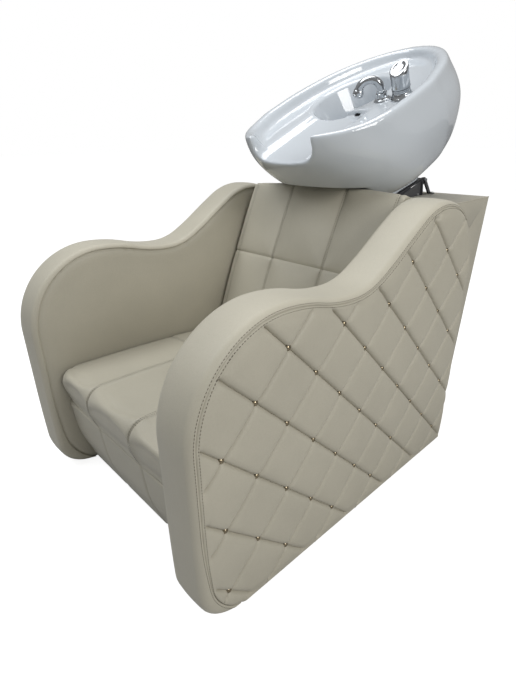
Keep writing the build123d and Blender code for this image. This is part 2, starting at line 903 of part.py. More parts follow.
def back_side_face(sink):
    """Side view of the back cushion: crowned front, rounded top corner, level underside."""
    rise = (back_top - seat_board_top) / cos(radians(recline)) - sink
    low = back_foot_rise(-sink)
    corner = back_top_round * (1 - cos(radians(45)))
    shoulder = rise - back_top_round
    rear = -back_thickness
    edges = [
        ThreePointArc(back_point(low, -sink), back_point((low + rise) / 2, back_crown - sink),
                      back_point(shoulder, -sink)),
        ThreePointArc(back_point(shoulder, -sink), back_point(rise - corner, -corner - sink),
                      back_point(rise, -back_top_round - sink)),
        Line(back_point(rise, -back_top_round - sink), back_point(rise, rear)),
        Line(back_point(rise, rear), back_point(back_foot_rise(rear), rear)),
        Line(back_point(back_foot_rise(rear), rear), back_point(low, -sink)),
    ]
    return make_face(Wire(edges))


def back_plane():
    """Origin at the foot of the back's front surface, X across, Y up the slope, Z forwards."""
    out = (0, -cos(radians(recline)), sin(radians(recline)))
    return Plane(origin=(0, back_foot_y, seat_board_top), x_dir=(1, 0, 0), z_dir=out)


def build_back():
    stations = cushion_stations(back_half_width, back_seam_x, back_side_round, back_top_crown)
    body = cushion_body(back_side_face, stations)
    rise = (back_top - seat_board_top) / cos(radians(recline))
    foot = -back_thickness
    low = back_foot_rise(0.0)
    seam_rise = (back_row_seam_height - seat_board_top) / cos(radians(recline))
    share = (seam_rise - low) / (rise - low)
    seam_y, seam_z = back_point(seam_rise, 4 * back_crown * share * (1 - share))
    body = body - seam_wedge(seam_y, seam_z, 180.0 - recline, back_half_width)
    sides = drawn_sides(back_half_width, foot, rise, back_draw_in)
    trim = extrude(back_plane() * sides, amount=overall_length, both=True)
    save(body & trim, "back_cushion")
    board_rise = rise - back_board_below_top
    near = -back_thickness - fit_gap
    far = near - back_board_thickness
    outline = [back_point(foot, near), back_point(board_rise, near), back_point(board_rise, far),
               back_point(foot, far)]
    panel = side_prism(outline, -board_x, board_x)
    above = block(-half_width, half_width, front_y, rear_y, seat_board_bottom + fit_gap, back_top)
    save(panel & above, "back_board")


# Basin support

def foot_point(v, w):
    """A side view point, v up the foot's slope to the rear and w square to it."""
    along = heading(foot_lean)
    return foot_y + v * along[0] - w * along[1], foot_z + v * along[1] + w * along[0]


def foot_block(x0, x1, v0, v1, w0, w1):
    """A block lined up with the foot's slope."""
    corners = (foot_point(v0, w0), foot_point(v1, w0), foot_point(v1, w1), foot_point(v0, w1))
    return side_prism(corners, x0, x1)


def foot_rod(radius, x, v, w0, w1):
    return extrude(foot_plane.offset(w0) * Pos(x, v) * Circle(radius), amount=w1 - w0)


def tilted(shape, angle):
    """The shape turned about the tilt pivot, rear end down for a positive angle."""
    pivot = Axis((0, pivot_y, pivot_z), (1, 0, 0))
    return shape.rotate(pivot, -angle)


def m6_screw(plane, over=0.0):
    """A screw whose head sits on a plane and whose shank runs against the plane's direction."""
    shank = extrude(plane * Circle(m6_radius + over), amount=-m6_length - 2 * over)
    return shank if over > 0 else shank + extrude(plane * Circle(m6_head_radius), amount=m6_head)


def build_tubes():
    for name, y in (("front_cross_tube", tube_front_y), ("rear_cross_tube", tube_rear_y)):
        x = board_inner_x - tube_flange
        y0 = y - tube_side / 2
        y1 = y + tube_side / 2
        z0 = tube_top - tube_side
        tube = block(-x, x, y0, y1, z0, tube_top)
        tube = tube - block(-x, x, y0 + tube_wall, y1 - tube_wall, z0 + tube_wall, tube_top - tube_wall)
        for side in (1, -1):
            ends = sorted((side * x, side * board_inner_x))
            tube = tube + block(ends[0], ends[1], y0, y1, tube_top - tube_flange_height, tube_top)
        for screw_y, z in tube_screw_places():
            for side in (1, -1):
                tube = tube - tube_screw(side, screw_y, z, stud_pin_fit)
        for plane in foot_screw_planes():
            tube = tube - m6_screw(plane, stud_pin_fit)
        save(tube, name)


def foot_screw_planes():
    """Where the bracket feet are screwed down onto the tubes."""
    z = tube_top + bracket_plate
    x = bracket_outer - bracket_flange + m6_head_radius + fit_gap
    return [Plane(origin=(side * x, y, z)) for side in (1, -1) for y in (tube_front_y, tube_rear_y)]


def crossbar(tilt, place):
    """A square bar between the brackets that stops the carrier, lined up with it at a tilt."""
    top = carrier_bottom - stop_thickness
    bar = foot_block(-bracket_x, bracket_x, place - crossbar_side / 2, place + crossbar_side / 2,
                     top - crossbar_side, top)
    return tilted(bar, tilt)


def crossbar_screw_planes():
    centre_w = carrier_bottom - stop_thickness - crossbar_side / 2
    y0, z0 = foot_point(front_bar_place, centre_w)
    y1, z1 = foot_point(rear_bar_place, centre_w)
    reach = hypot(y1 - pivot_y, z1 - pivot_z)
    turned = heading(degrees(atan2(z1 - pivot_z, y1 - pivot_y)) - tilt_travel)
    centres = ((y0, z0), (pivot_y + reach * turned[0], pivot_z + reach * turned[1]))
    return [Plane(origin=(side * bracket_outer, y, z), x_dir=(0, 1, 0), z_dir=(side, 0, 0))
            for side in (1, -1) for y, z in centres]


def stay_top_planes():
    x = bracket_outer + stay_thickness
    return [Plane(origin=(side * x, stay_top_y, stay_top_z), x_dir=(0, 1, 0), z_dir=(side, 0, 0))
            for side in (1, -1)]


def stay_foot_planes():
    x = bracket_outer + stay_thickness + stay_tab / 2
    z = cabinet_top + stay_tab_thickness
    return [Plane(origin=(side * x, stay_foot_y, z)) for side in (1, -1)]


def build_crossbars():
    bars = []
    pads = []
    for tilt, place in ((0.0, front_bar_place), (tilt_travel, rear_bar_place)):
        bar = crossbar(tilt, place)
        for plane in crossbar_screw_planes():
            bar = bar - m6_screw(plane, stud_pin_fit)
        bars.append(bar)
        for x in (-stop_x, stop_x):
            pad = foot_rod(stop_radius, x, place, carrier_bottom - stop_thickness, carrier_bottom)
            pads.append(tilted(pad, tilt))
    save(group(bars), "bracket_crossbars")
    save(group(pads), "tilt_stop_pads")


def bracket_outline():
    """The side plate: from the cross tubes up past the pivot to a tall rear edge with an ear."""
    y0 = tube_front_y - tube_side / 2
    y1 = tube_rear_y + tube_side / 2
    inner0 = tube_front_y + tube_side / 2 + fit_gap
    inner1 = tube_rear_y - tube_side / 2 - fit_gap
    low = tube_top - bracket_depth
    shoulder = tube_top + bracket_shoulder
    return ((y0, tube_top), (inner0, tube_top), (inner0, low), (inner1, low), (inner1, tube_top),
            (y1, tube_top), (y1, shoulder), (bracket_rear_low, shoulder + bracket_plate),
            (bracket_rear_high + bracket_plate, bracket_ear_z - stay_width), (bracket_ear_y, bracket_ear_z),
            (bracket_ear_y, bracket_ear_top), (bracket_rear_high + bracket_plate, bracket_ear_top),
            (bracket_rear_high, bracket_top_rear), (pivot_y + pivot_ear, pivot_z + pivot_ear_rise),
            (pivot_y - pivot_ear / 2, pivot_z + pivot_ear), (y0, shoulder))


def build_brackets():
    plate = side_prism(bracket_outline(), bracket_x, bracket_outer)
    for y in (tube_front_y, tube_rear_y):
        plate = plate + block(bracket_outer - bracket_flange, bracket_outer, y - tube_side / 2,
                              y + tube_side / 2, tube_top, tube_top + bracket_plate)
    rear = ((bracket_rear_low, tube_top + bracket_shoulder), (bracket_rear_high, bracket_top_rear),
            (bracket_rear_high - bracket_plate, bracket_top_rear),
            (bracket_rear_low - bracket_plate, tube_top + bracket_shoulder))
    plate = plate + side_prism(rear, bracket_x, bracket_outer + bracket_rear_flange / 2)
    bore = shaft_radius + shaft_fit
    plate = plate - rod_x(bore, bracket_x - cut_over, bracket_outer + cut_over, pivot_y, pivot_z)
    screws = foot_screw_planes() + crossbar_screw_planes() + stay_top_planes()
    for plane in screws:
        plate = plate - m6_screw(plane, stud_pin_fit)
    save(plate, "left_support_bracket")
    save(mirrored(plate, -1), "right_support_bracket")


def build_stays():
    """Slanted flat bars from the bracket ears down to tabs on the cabinet top."""
    x0 = bracket_outer
    x1 = x0 + stay_thickness
    z_foot = cabinet_top
    span = (stay_foot_y - stay_top_y, z_foot - stay_top_z)
    side = heading(degrees(atan2(span[1], span[0])) + 90)
    half = stay_width / 2
    outline = [(stay_top_y + half * side[0], stay_top_z + half * side[1]),
               (stay_foot_y + half, z_foot + stay_tab_thickness), (stay_foot_y + half, z_foot),
               (stay_foot_y - half, z_foot), (stay_top_y - half * side[0], stay_top_z - half * side[1])]
    bar = side_prism(outline, x0, x1) + rod_x(half, x0, x1, stay_top_y, stay_top_z)
    tab_top = z_foot + stay_tab_thickness
    tab = block(x0, x1 + stay_tab, stay_foot_y - half, stay_foot_y + half, z_foot, tab_top)
    bar = bar + tab
    for plane in stay_top_planes() + stay_foot_planes():
        bar = bar - m6_screw(plane, stud_pin_fit)
    save(group([bar, mirrored(bar, -1)]), "rear_stays")


def build_support_screws():
    planes = foot_screw_planes() + crossbar_screw_planes() + stay_top_planes() + stay_foot_planes()
    save(group([m6_screw(plane) for plane in planes]), "support_screws")


def build_shaft():
    end = bracket_outer + shaft_over
    save(rod_x(shaft_radius, -end, end, pivot_y, pivot_z), "pivot_shaft")
    x0 = bracket_outer + fit_gap
    collar = rod_x(collar_radius, x0, x0 + collar_length, pivot_y, pivot_z)
    bore = rod_x(shaft_radius + shaft_fit / 2, x0 - cut_over, x0 + collar_length + cut_over, pivot_y, pivot_z)
    collar = collar - bore
    save(group([collar, mirrored(collar, -1)]), "shaft_collars")
    bush = rod_x(shaft_radius + bush_wall, lug_inner - bush_wall, lug_outer, pivot_y, pivot_z)
    bush = bush + rod_x(bush_flange_radius, lug_outer, lug_outer + bush_flange, pivot_y, pivot_z)
    bush = bush - rod_x(shaft_radius + shaft_fit, lug_inner - 2 * bush_wall, bracket_x, pivot_y, pivot_z)
    save(group([bush, mirrored(bush, -1)]), "pivot_bushes")


def basin_bolt_places():
    return [(x, v) for x in (-basin_bolt_x, basin_bolt_x) for v in (basin_bolt_front, basin_bolt_rear)]


def build_carrier():
    """The welded carrier: a plate under the basin's foot and two lugs that hang on the pivot."""
    low = carrier_bottom
    plate = foot_block(-carrier_half, carrier_half, carrier_front, carrier_rear, low, carrier_top)
    corners = [e for e in plate.edges() if e.length < 2 * carrier_plate]
    plate = fillet(corners, carrier_corner)
    ear_low = foot_plane.to_local_coords(Vector(0, pivot_y, pivot_z))
    v_pivot = ear_low.Y
    w_pivot = ear_low.Z
    radius = shaft_radius + bush_wall
    outline = [foot_point(lug_front, low), foot_point(lug_rear, low), foot_point(lug_rear, low - lug_heel),
               foot_point(v_pivot + pivot_ear, w_pivot),
               foot_point(v_pivot + pivot_ear / 2, w_pivot - pivot_ear),
               foot_point(v_pivot - pivot_ear / 2, w_pivot - pivot_ear),
               foot_point(lug_front, low - lug_heel)]
    carrier = plate
    for side in (1, -1):
        lug = side_prism(outline, lug_inner, lug_outer)
        lug = lug + foot_block(lug_outer - lug_flange, lug_outer, lug_front, lug_rear, low - lug_plate, low)
        bore = radius + stud_pin_fit / 2
        lug = lug - rod_x(bore, lug_inner - cut_over, lug_outer + cut_over, pivot_y, pivot_z)
        carrier = carrier + mirrored(lug, side)
    carrier = carrier - rod_z(drain_opening_radius, 0, drain_y, pivot_z, foot_z + foot_height)
    for x, v in basin_bolt_places():
        hole = basin_bolt_radius + stud_pin_fit
        carrier = carrier - foot_rod(hole, x, v, low - cut_over, carrier_top + cut_over)
    save(carrier, "tilt_carrier")


def build_basin_fixings():
    pads = []
    bolts = []
    for x, v in basin_bolt_places():
        pad = foot_rod(pad_radius, x, v, carrier_top, 0.0)
        pads.append(pad - foot_rod(basin_bolt_radius + stud_pin_fit, x, v, carrier_top - cut_over, cut_over))
        low = carrier_bottom
        if abs(x) + basin_bolt_head_radius > lug_outer - lug_flange and lug_front < v < lug_rear:
            low = low - lug_plate
        shank = foot_rod(basin_bolt_radius, x, v, low, basin_bolt_depth)
        bolts.append(shank + foot_rod(basin_bolt_head_radius, x, v, low - basin_bolt_head, low))
    save(group(pads), "basin_pads")
    save(group(bolts), "basin_bolts")


# Basin

def oval(front, rear, half, wide, power):
    """A closed smooth outline in the rim plane: one curve for the front half, one for the rear half."""

    def half_curve(reach, exponent, turn):
        points = []
        for i in range(oval_steps + 1):
            angle = turn + radians(180) * i / oval_steps
            c = cos(angle)
            s = sin(angle)
            u = wide + reach * (1 if c >= 0 else -1) * abs(c) ** (2 / exponent)
            x = half * (1 if s >= 0 else -1) * abs(s) ** (2 / exponent)
            points.append((x, u))
        return points

    rear_points = half_curve(rear - wide, power, radians(-90))
    front_points = half_curve(wide - front, front_power, radians(90))
    rear_points[0] = (-half, wide)
    rear_points[-1] = (half, wide)
    front_points[0] = (half, wide)
    front_points[-1] = (-half, wide)
    first = Spline(*rear_points, tangents=[(0, 1), (0, -1)])
    second = Spline(*front_points, tangents=[(0, -1), (0, 1)])
    return make_face(Wire([first, second]))


def basin_section(share, inset):
    depth, front, rear, half, wide, power = share
    face = oval(front * basin_reach + inset, rear * basin_reach - inset, half * basin_half - inset,
                wide * basin_reach, power)
    return rim_plane.offset(-depth * basin_depth) * face


def basin_body():
    """The outer form with its foot, cut to the rim's curve above and kept clear of the back below."""
    body = loft([basin_section(share, 0.0) for share in basin_section_shares])
    body = body - underside_cutter(0.0)
    return body + foot_prism(0.0, 0.0, foot_height)


def underside_cutter(raise_by):
    """What lies below the basin in front of its foot, raised by a thickness."""
    low = foot_z - basin_depth
    points = [(-overall_length, basin_underside[0][1] + raise_by)]
    points += [(y + raise_by / 2, z + raise_by) for y, z in basin_underside]
    points.append((overall_length, basin_underside[-1][1] + raise_by))
    points += [(overall_length, low), (-overall_length, low)]
    return side_prism(points, -basin_reach, basin_reach)


def foot_prism(inset, w0, w1):
    """The foot's rounded outline, square to its own slope."""
    wide = 2 * (foot_half - inset)
    long = foot_rear - foot_front - 2 * inset
    middle = (foot_rear + foot_front) / 2
    outline = Pos(0, middle) * RectangleRounded(wide, long, foot_corner - inset)
    return extrude(foot_plane.offset(w0) * outline, amount=w1 - w0)


def rim_cutter(drop):
    """What lies above the rim: it rises to the horns in front and falls away a little behind."""
    start = rim_front_start_share * basin_reach
    front = -basin_reach
    rear = rim_rear_share * basin_reach
    high = basin_depth
    edges = smooth_run((front, rim_front_rise * 2 - drop), rim_front_heading, (start, -drop), 0.0)
    edges += smooth_run((start, -drop), 0.0, (rear, -rim_rear_drop - drop), rim_rear_heading)
    edges.append(Line((rear, -rim_rear_drop - drop), (rear, high)))
    edges.append(Line((rear, high), (front, high)))
    edges.append(Line((front, high), (front, rim_front_rise * 2 - drop)))
    side = Plane(origin=rim_plane.origin, x_dir=rim_plane.y_dir, z_dir=(1, 0, 0))
    return extrude(side * make_face(Wire(edges)), amount=basin_reach, both=True)


def neck_cutter(grow):
    """The rounded dip for the neck, open to the front."""
    top = basin_depth / 2
    half = neck_half + grow
    drop = neck_drop + grow
    edges = [Line((-half, top), (half, top)), Line((half, top), (half, -drop + neck_round))]
    edges += smooth_run((half, -drop + neck_round), -90.0, (0, -drop), 180.0)
    edges += smooth_run((0, -drop), 180.0, (-half, -drop + neck_round), 90.0)
    edges.append(Line((-half, -drop + neck_round), (-half, top)))
    front = Plane(origin=rim_plane.origin, x_dir=(1, 0, 0), z_dir=-rim_plane.y_dir)
    return extrude(front * make_face(Wire(edges)), amount=basin_reach)


def deck_cutter(grow):
    """The shallow recess under the rim, its floor as deep as the deck."""
    rim = basin_section_shares[0]
    floor = list(basin_section_shares[1])
    floor[0] = (recess_floor_depth + grow) / basin_depth
    low = basin_section(tuple(floor), basin_wall + recess_draft - grow)
    return loft([low, basin_section(rim, basin_wall - grow)])


def bowl_mouth(n, grow):
    return rim_plane.offset(n) * Pos(bowl_x, bowl_u) * Ellipse(bowl_half_x + grow, bowl_half_u + grow)


def bowl_form(grow):
    """The deep bowl, from its mouth in the deck down to a small round floor."""
    reach = bowl_floor_half + grow
    floor = Plane.XY.offset(bowl_floor_z - grow) * Pos(0, drain_y) * Ellipse(reach, reach)
    return loft([floor, bowl_mouth(deck_n, grow)])


def bowl_cutter(grow):
    """The bowl and the way into it from above."""
    return bowl_form(grow) + loft([bowl_mouth(deck_n, grow), bowl_mouth(basin_wall, grow)])


def basin_hollow():
    """The space inside the casting, open at the foot and clear of the bowl, deck and bolt bosses."""
    inner = loft([basin_section(share, basin_shell_wall) for share in basin_section_shares])
    deepest = basin_section_shares[-1][0] * basin_depth - basin_shell_wall
    below = rim_plane.offset(-deepest) * Rectangle(4 * basin_reach, 4 * basin_reach)
    inner = inner - extrude(below, amount=-basin_depth)
    inner = inner - underside_cutter(basin_shell_wall)
    inner = inner + foot_prism(foot_wall, -cut_over, foot_height - foot_wall)
    inner = inner - rim_cutter(basin_deck_thickness)
    inner = inner - neck_cutter(basin_shell_wall)
    inner = inner - deck_cutter(basin_deck_thickness)
    inner = inner - bowl_cutter(bowl_wall)
    for x, v in basin_bolt_places():
        inner = inner - foot_rod(boss_radius, x, v, -cut_over, boss_height)
    return inner


def build_basin():
    body = basin_body() - basin_hollow()
    body = body - rim_cutter(0.0)
    body = body - deck_cutter(0.0)
    body = body - bowl_cutter(0.0)
    body = body - neck_cutter(0.0)
    over = stud_pin_fit
    hole_low = bowl_floor_z - 2 * bowl_wall
    body = body - rod_z(drain_radius + over, 0, drain_y, hole_low, bowl_floor_z + cut_over)
    for x, v in basin_bolt_places():
        body = body - foot_rod(basin_bolt_radius + over, x, v, -cut_over, basin_bolt_depth + cut_over)
    for x, u in ((mixer_x, mixer_u), (spray_x, spray_u)):
        body = body - rim_rod(deck_thread_radius + over, x, u, deck_under - cut_over, deck_n + cut_over)
    bowl_room = bowl_form(bowl_wall)
    deck_room = deck_cutter(basin_deck_thickness)
    save(body & bowl_room, "basin_bowl")
    rest = body - bowl_room
    save(rest & deck_room, "basin_deck")
    save(rest - deck_room, "basin")


# Waste

def build_waste():
    top = bowl_floor_z + drain_flange_lift
    ledge = top - strainer_height
    low = bowl_floor_z - bowl_wall - drain_nut_height - drain_thread_length
    flange = rod_z(drain_flange_radius, 0, drain_y, bowl_floor_z, top)
    flange = flange + rod_z(drain_radius, 0, drain_y, low, top)
    flange = flange - rod_z(strainer_radius + stud_pin_fit, 0, drain_y, ledge, top + cut_over)
    flange = flange - rod_z(strainer_radius - strainer_ledge, 0, drain_y, low - cut_over, ledge + cut_over)
    save(flange, "drain_flange")
    strainer = rod_z(strainer_radius, 0, drain_y, ledge, top)
    strainer = strainer + rod_z(strainer_knob_radius, 0, drain_y, top, top + strainer_knob_height)
    for i in range(strainer_holes):
        along = heading(360 * i / strainer_holes)
        x = strainer_ring_radius * along[0]
        y = drain_y + strainer_ring_radius * along[1]
        strainer = strainer - rod_z(strainer_hole_radius, x, y, ledge - cut_over, top + cut_over)
    save(strainer, "drain_strainer")
    nut_top = bowl_floor_z - bowl_wall
    nut = rod_z(drain_nut_radius, 0, drain_y, nut_top - drain_nut_height, nut_top)
    nut = nut - rod_z(drain_radius + stud_pin_fit, 0, drain_y, low, nut_top + cut_over)
    save(nut, "drain_nut")
    tail = rod_z(drain_tail_radius, 0, drain_y, low - drain_tail_length, low)
    tail = tail + rod_z(drain_coupling_radius, 0, drain_y, low - drain_coupling_height, low)
    socket = rod_z(drain_coupling_radius, 0, drain_y, low, low + drain_coupling_over)
    tail = tail + (socket - rod_z(drain_radius + stud_pin_fit, 0, drain_y, low, low + drain_coupling_over))
    bore = strainer_radius - strainer_ledge
    tail = tail - rod_z(bore, 0, drain_y, low - drain_tail_length - cut_over, low + cut_over)
    save(tail, "drain_tail")


# Mixer

def build_mixer():
    base_top = deck_n + mixer_base_height
    base = rim_rod(mixer_base_radius, mixer_x, mixer_u, deck_n, base_top)
    base = fillet(base.edges().sort_by(Axis(rim_plane.origin, rim_plane.z_dir))[-1], mixer_base_round)
    base = base + rim_rod(deck_thread_radius, mixer_x, mixer_u, deck_n - deck_thread_length, deck_n)
    spigot_top = base_top + mixer_spigot_height
    base = base + rim_rod(mixer_spigot_radius, mixer_x, mixer_u, base_top, spigot_top)
    thread_low = deck_n - deck_thread_length
    tail_top = thread_low + mixer_tail_depth
    tail_low = thread_low - mixer_tail_length
    tails = []
    for spread in (-mixer_tail_spread, mixer_tail_spread):
        tail_x = mixer_x + spread
        tail = rim_rod(mixer_tail_radius, tail_x, mixer_u, tail_low, thread_low)
        tails.append(tail + rim_rod(mixer_tail_neck_radius, tail_x, mixer_u, tail_low, tail_top))
        hole = rim_rod(mixer_tail_neck_radius + mixer_play, tail_x, mixer_u, thread_low - cut_over, tail_top)
        base = base - hole
    save(base, "mixer_base")
    save(group(tails), "mixer_tails")
    collar_low = base_top + mixer_play
    collar_top = collar_low + mixer_collar_height
    collar = rim_rod(mixer_collar_radius, mixer_x, mixer_u, collar_low, collar_top)
    bore = mixer_spigot_radius + mixer_play
    collar = collar - rim_rod(bore, mixer_x, mixer_u, collar_low - cut_over, collar_top + cut_over)
    pin_u = mixer_u + mixer_pin_back
    pin_n = collar_top + mixer_gap + mixer_pin_rise
    pin = rim_plane.from_local_coords(Vector(0, pin_u, pin_n))
    neck = Rectangle(2 * mixer_lug_half, 2 * mixer_neck_half)
    lug_foot = rim_plane.offset(collar_low) * Pos(mixer_x, pin_u) * neck
    collar = collar + extrude(lug_foot, amount=pin_n - collar_low)
    for radius, half in ((mixer_lug_radius, mixer_lug_half), (mixer_pin_radius, mixer_pin_half)):
        collar = collar + rod_x(radius, mixer_x - half, mixer_x + half, pin.Y, pin.Z)
    save(collar, "mixer_collar")
    low = collar_top + mixer_gap
    high = low + mixer_handle_height
    handle = rim_rod(mixer_handle_radius, mixer_x, mixer_u, low, high)
    middle = rim_plane.from_local_coords(Vector(mixer_x, mixer_u + mixer_handle_radius, high))
    lean = radians(rim_tilt + mixer_handle_slant)
    slant = Plane(origin=middle, x_dir=(1, 0, 0), z_dir=(0, -sin(lean), cos(lean)))
    cutter = slant * Rectangle(4 * mixer_handle_radius, 6 * mixer_handle_radius)
    handle = handle - extrude(cutter, amount=mixer_handle_height)
    top_edges = handle.faces().sort_by(Axis(slant.origin, slant.z_dir))[-1].edges()
    handle = fillet(top_edges, mixer_handle_round)
    run = mixer_handle_radius / cos(radians(mixer_handle_slant))
    dish = slant * Pos(0, -run) * Circle(mixer_dish_radius)
    handle = handle - extrude(dish, amount=-mixer_dish_depth)
    clear = spigot_top + mixer_handle_round
    handle = handle - rim_rod(mixer_handle_bore, mixer_x, mixer_u, low - cut_over, clear)
    room = mixer_lug_radius + mixer_slot_play
    slot_x = 2 * (mixer_lug_half + mixer_slot_play)
    slot = rim_plane.offset(low - cut_over) * Pos(mixer_x, pin_u) * Rectangle(slot_x, 2 * room)
    handle = handle - extrude(slot, amount=pin_n + room - low + cut_over)
    reach = mixer_pin_half + mixer_slot_play
    handle = handle - rod_x(mixer_pin_radius + spray_play, mixer_x - reach, mixer_x + reach, pin.Y, pin.Z)
    save(handle, "mixer_handle")


# Hand shower

def build_spray():
    top = deck_n + spray_flange_height + spray_sleeve_height
    holder = rim_rod(spray_flange_radius, spray_x, spray_u, deck_n, deck_n + spray_flange_height)
    holder = holder + rim_rod(spray_sleeve_radius, spray_x, spray_u, deck_n, top)
    thread_low = deck_n - deck_thread_length
    holder = holder + rim_rod(deck_thread_radius, spray_x, spray_u, thread_low, deck_n)
    bore = spray_stem_radius + spray_play
    holder = holder - rim_rod(bore, spray_x, spray_u, thread_low - cut_over, top + cut_over)
    save(holder, "spray_holder")
    nuts = []
    for x, u in ((mixer_x, mixer_u), (spray_x, spray_u)):
        nut = rim_rod(deck_nut_radius, x, u, deck_under - deck_nut_height, deck_under)
        hole = rim_rod(deck_thread_radius + stud_pin_fit, x, u, deck_under - 2 * deck_nut_height, deck_n)
        nuts.append(nut - hole)
    save(group(nuts), "deck_nuts")
    rest = top + spray_play
    body = rim_rod(spray_stem_radius, spray_x, spray_u, top - spray_stem_length, rest + spray_collar_height)
    body = body + rim_rod(spray_collar_radius, spray_x, spray_u, rest, rest + spray_collar_height)
    start = rest + spray_collar_height
    turn = heading(spray_turn)
    origin = rim_plane.from_local_coords(Vector(spray_x, spray_u, 0))
    across = rim_plane.from_local_coords(Vector(spray_x + turn[0], spray_u + turn[1], 0)) - origin
    side = Plane(origin=origin, x_dir=across, z_dir=across.cross(Vector(*rim_n)))
    rise = start + spray_neck_rise
    bend = spray_neck_bend
    reach = 2 * bend + spray_neck_run
    path = Line((0, start), (0, rise))
    path = path + RadiusArc((0, rise), (bend, rise + bend), bend)
    path = path + Line((bend, rise + bend), (bend + spray_neck_run, rise + bend))
    path = path + RadiusArc((bend + spray_neck_run, rise + bend), (reach, rise), bend)
    section = rim_plane.offset(start) * Pos(spray_x, spray_u) * Circle(spray_neck_radius)
    body = body + sweep(section, path=side * path)
    head_x = spray_x + reach * turn[0]
    head_u = spray_u + reach * turn[1]
    taper_low = rise - spray_head_taper
    head_low = taper_low - spray_head_height
    body = body + rim_cone(spray_neck_radius, spray_head_radius, head_x, head_u, rise, taper_low)
    body = body + rim_rod(spray_head_radius, head_x, head_u, head_low, taper_low)
    save(body, "hand_shower")
    face = rim_rod(spray_face_radius, head_x, head_u, head_low - spray_face_height, head_low)
    save(face, "spray_face")


os.makedirs("parts", exist_ok=True)
build_arms()
build_arm_bolts()
build_glides()
build_frame()
build_cabinet_top()
build_rear_panel()
build_seat()
build_apron()
build_back()
build_tubes()
build_brackets()
build_crossbars()
build_stays()
build_support_screws()
build_shaft()
build_carrier()
build_basin_fixings()
build_basin()
build_waste()
build_mixer()
build_spray()
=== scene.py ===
import json
from collections import Counter
from math import atan2, ceil, cos, degrees, pi, radians, sin, sqrt

import bmesh
import bpy
import numpy as np
from bpy.props import FloatProperty, FloatVectorProperty, PointerProperty
from mathutils import Matrix, Vector


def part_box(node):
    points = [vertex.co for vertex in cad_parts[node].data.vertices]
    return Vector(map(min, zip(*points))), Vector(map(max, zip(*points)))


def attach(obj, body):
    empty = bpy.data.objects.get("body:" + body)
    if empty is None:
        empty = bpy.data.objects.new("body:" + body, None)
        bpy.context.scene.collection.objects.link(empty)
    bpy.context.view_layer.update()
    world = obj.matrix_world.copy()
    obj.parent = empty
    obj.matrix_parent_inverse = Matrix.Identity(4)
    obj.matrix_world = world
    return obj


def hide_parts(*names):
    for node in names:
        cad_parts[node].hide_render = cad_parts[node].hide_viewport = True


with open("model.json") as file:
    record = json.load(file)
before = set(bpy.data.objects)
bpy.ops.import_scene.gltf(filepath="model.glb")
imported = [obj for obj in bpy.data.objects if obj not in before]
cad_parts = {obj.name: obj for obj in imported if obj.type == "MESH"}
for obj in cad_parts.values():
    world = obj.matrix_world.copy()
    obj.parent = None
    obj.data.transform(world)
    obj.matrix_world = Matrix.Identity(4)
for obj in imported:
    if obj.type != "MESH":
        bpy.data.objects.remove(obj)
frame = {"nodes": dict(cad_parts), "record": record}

bl_info = {
    "name": "Hair washing bed",
    "version": (1, 0),
    "blender": (4, 5, 0),
    "location": "3D View > Sidebar > Salon",
    "description": "Upholstered backwash chair with a tilting ceramic basin",
    "category": "Object",
}

# Everything is in metres, in the frame's own axes: +X to the sitter's left, front towards -Y.
MM = 0.001
SIDES = ("left", "right")
CHAIR = "chair_frame"
UNIT = "basin_unit"

# The arm's outline: shares of its length and height, heading, and share of the band's depth
ARM_OUTLINE_SHARES = (
    (0.096, 0.0, 180.0, 0.0),
    (0.0, 0.345, 90.0, 1.2),
    (0.0, 0.561, 90.0, 1.2),
    (0.224, 0.846, 0.0, 1.0),
    (0.45, 0.8055, 0.0, 1.0),
    (0.6087, 0.889, 34.0, 1.0),
    (0.8036, 1.0, 0.0, 1.0),
    (1.0, 0.7115, -90.0, 0.25),
)
BAND_DEPTH = 13 * MM
BAND_ROUND = 22 * MM
BACK_SIDE_GAP = 5 * MM
BAND_INNER_ROUND = 16 * MM
TOE_BACK = 8 * MM
TOE_HEADING = 150.0
BAND_POINTS = 330
PANEL_GAP = 0.5 * MM

# Quilting of the outer arm panels
QUILT_STEP_BACK = 83.2 * MM
QUILT_STEP_DOWN = 81.7 * MM
QUILT_START_BACK = 319.8 * MM
QUILT_START_DOWN = 124.0 * MM
STUD_ROWS = ((1, 3), (0, 4), (-2, 5), (-3, 4), (-3, 3), (-2, 2), (-1, 0), (0, 0))
DEEP_LINES = (-5, 8)
FINE_LINES = (-2, 10)

ARM_LOW, ARM_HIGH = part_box("left_arm_band")
QUILT_LOW, QUILT_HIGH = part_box("left_arm_quilt")
PAD_LOW, PAD_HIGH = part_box("left_arm_inner_pad")
SEAT_LOW, SEAT_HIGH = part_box("seat_cushion")
BACK_LOW, BACK_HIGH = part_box("back_cushion")
APRON_LOW, APRON_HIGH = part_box("front_apron")
TOP_LOW, TOP_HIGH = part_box("cabinet_top_cover")
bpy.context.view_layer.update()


# Small helpers

def heading(angle):
    return np.array((cos(radians(angle)), sin(radians(angle))))


def arc_points(start, angle, end, step):
    """Points on the arc that leaves start at a heading and ends at end, and the heading there."""
    chord = np.subtract(end, start)
    chord_angle = degrees(atan2(chord[1], chord[0]))
    turn = 2 * ((chord_angle - angle + 180) % 360 - 180)
    half = radians(turn) / 2
    reach = np.hypot(*chord) * (half / sin(half) if abs(half) > 1e-9 else 1)
    count = max(1, ceil(reach / step))
    points = []
    for i in range(1, count + 1):
        share = i / count
        bend = half * share
        shrink = sin(bend) / bend if abs(bend) > 1e-9 else 1
        points.append(np.add(start, reach * share * shrink * heading(angle + degrees(bend))))
    return points, angle + turn


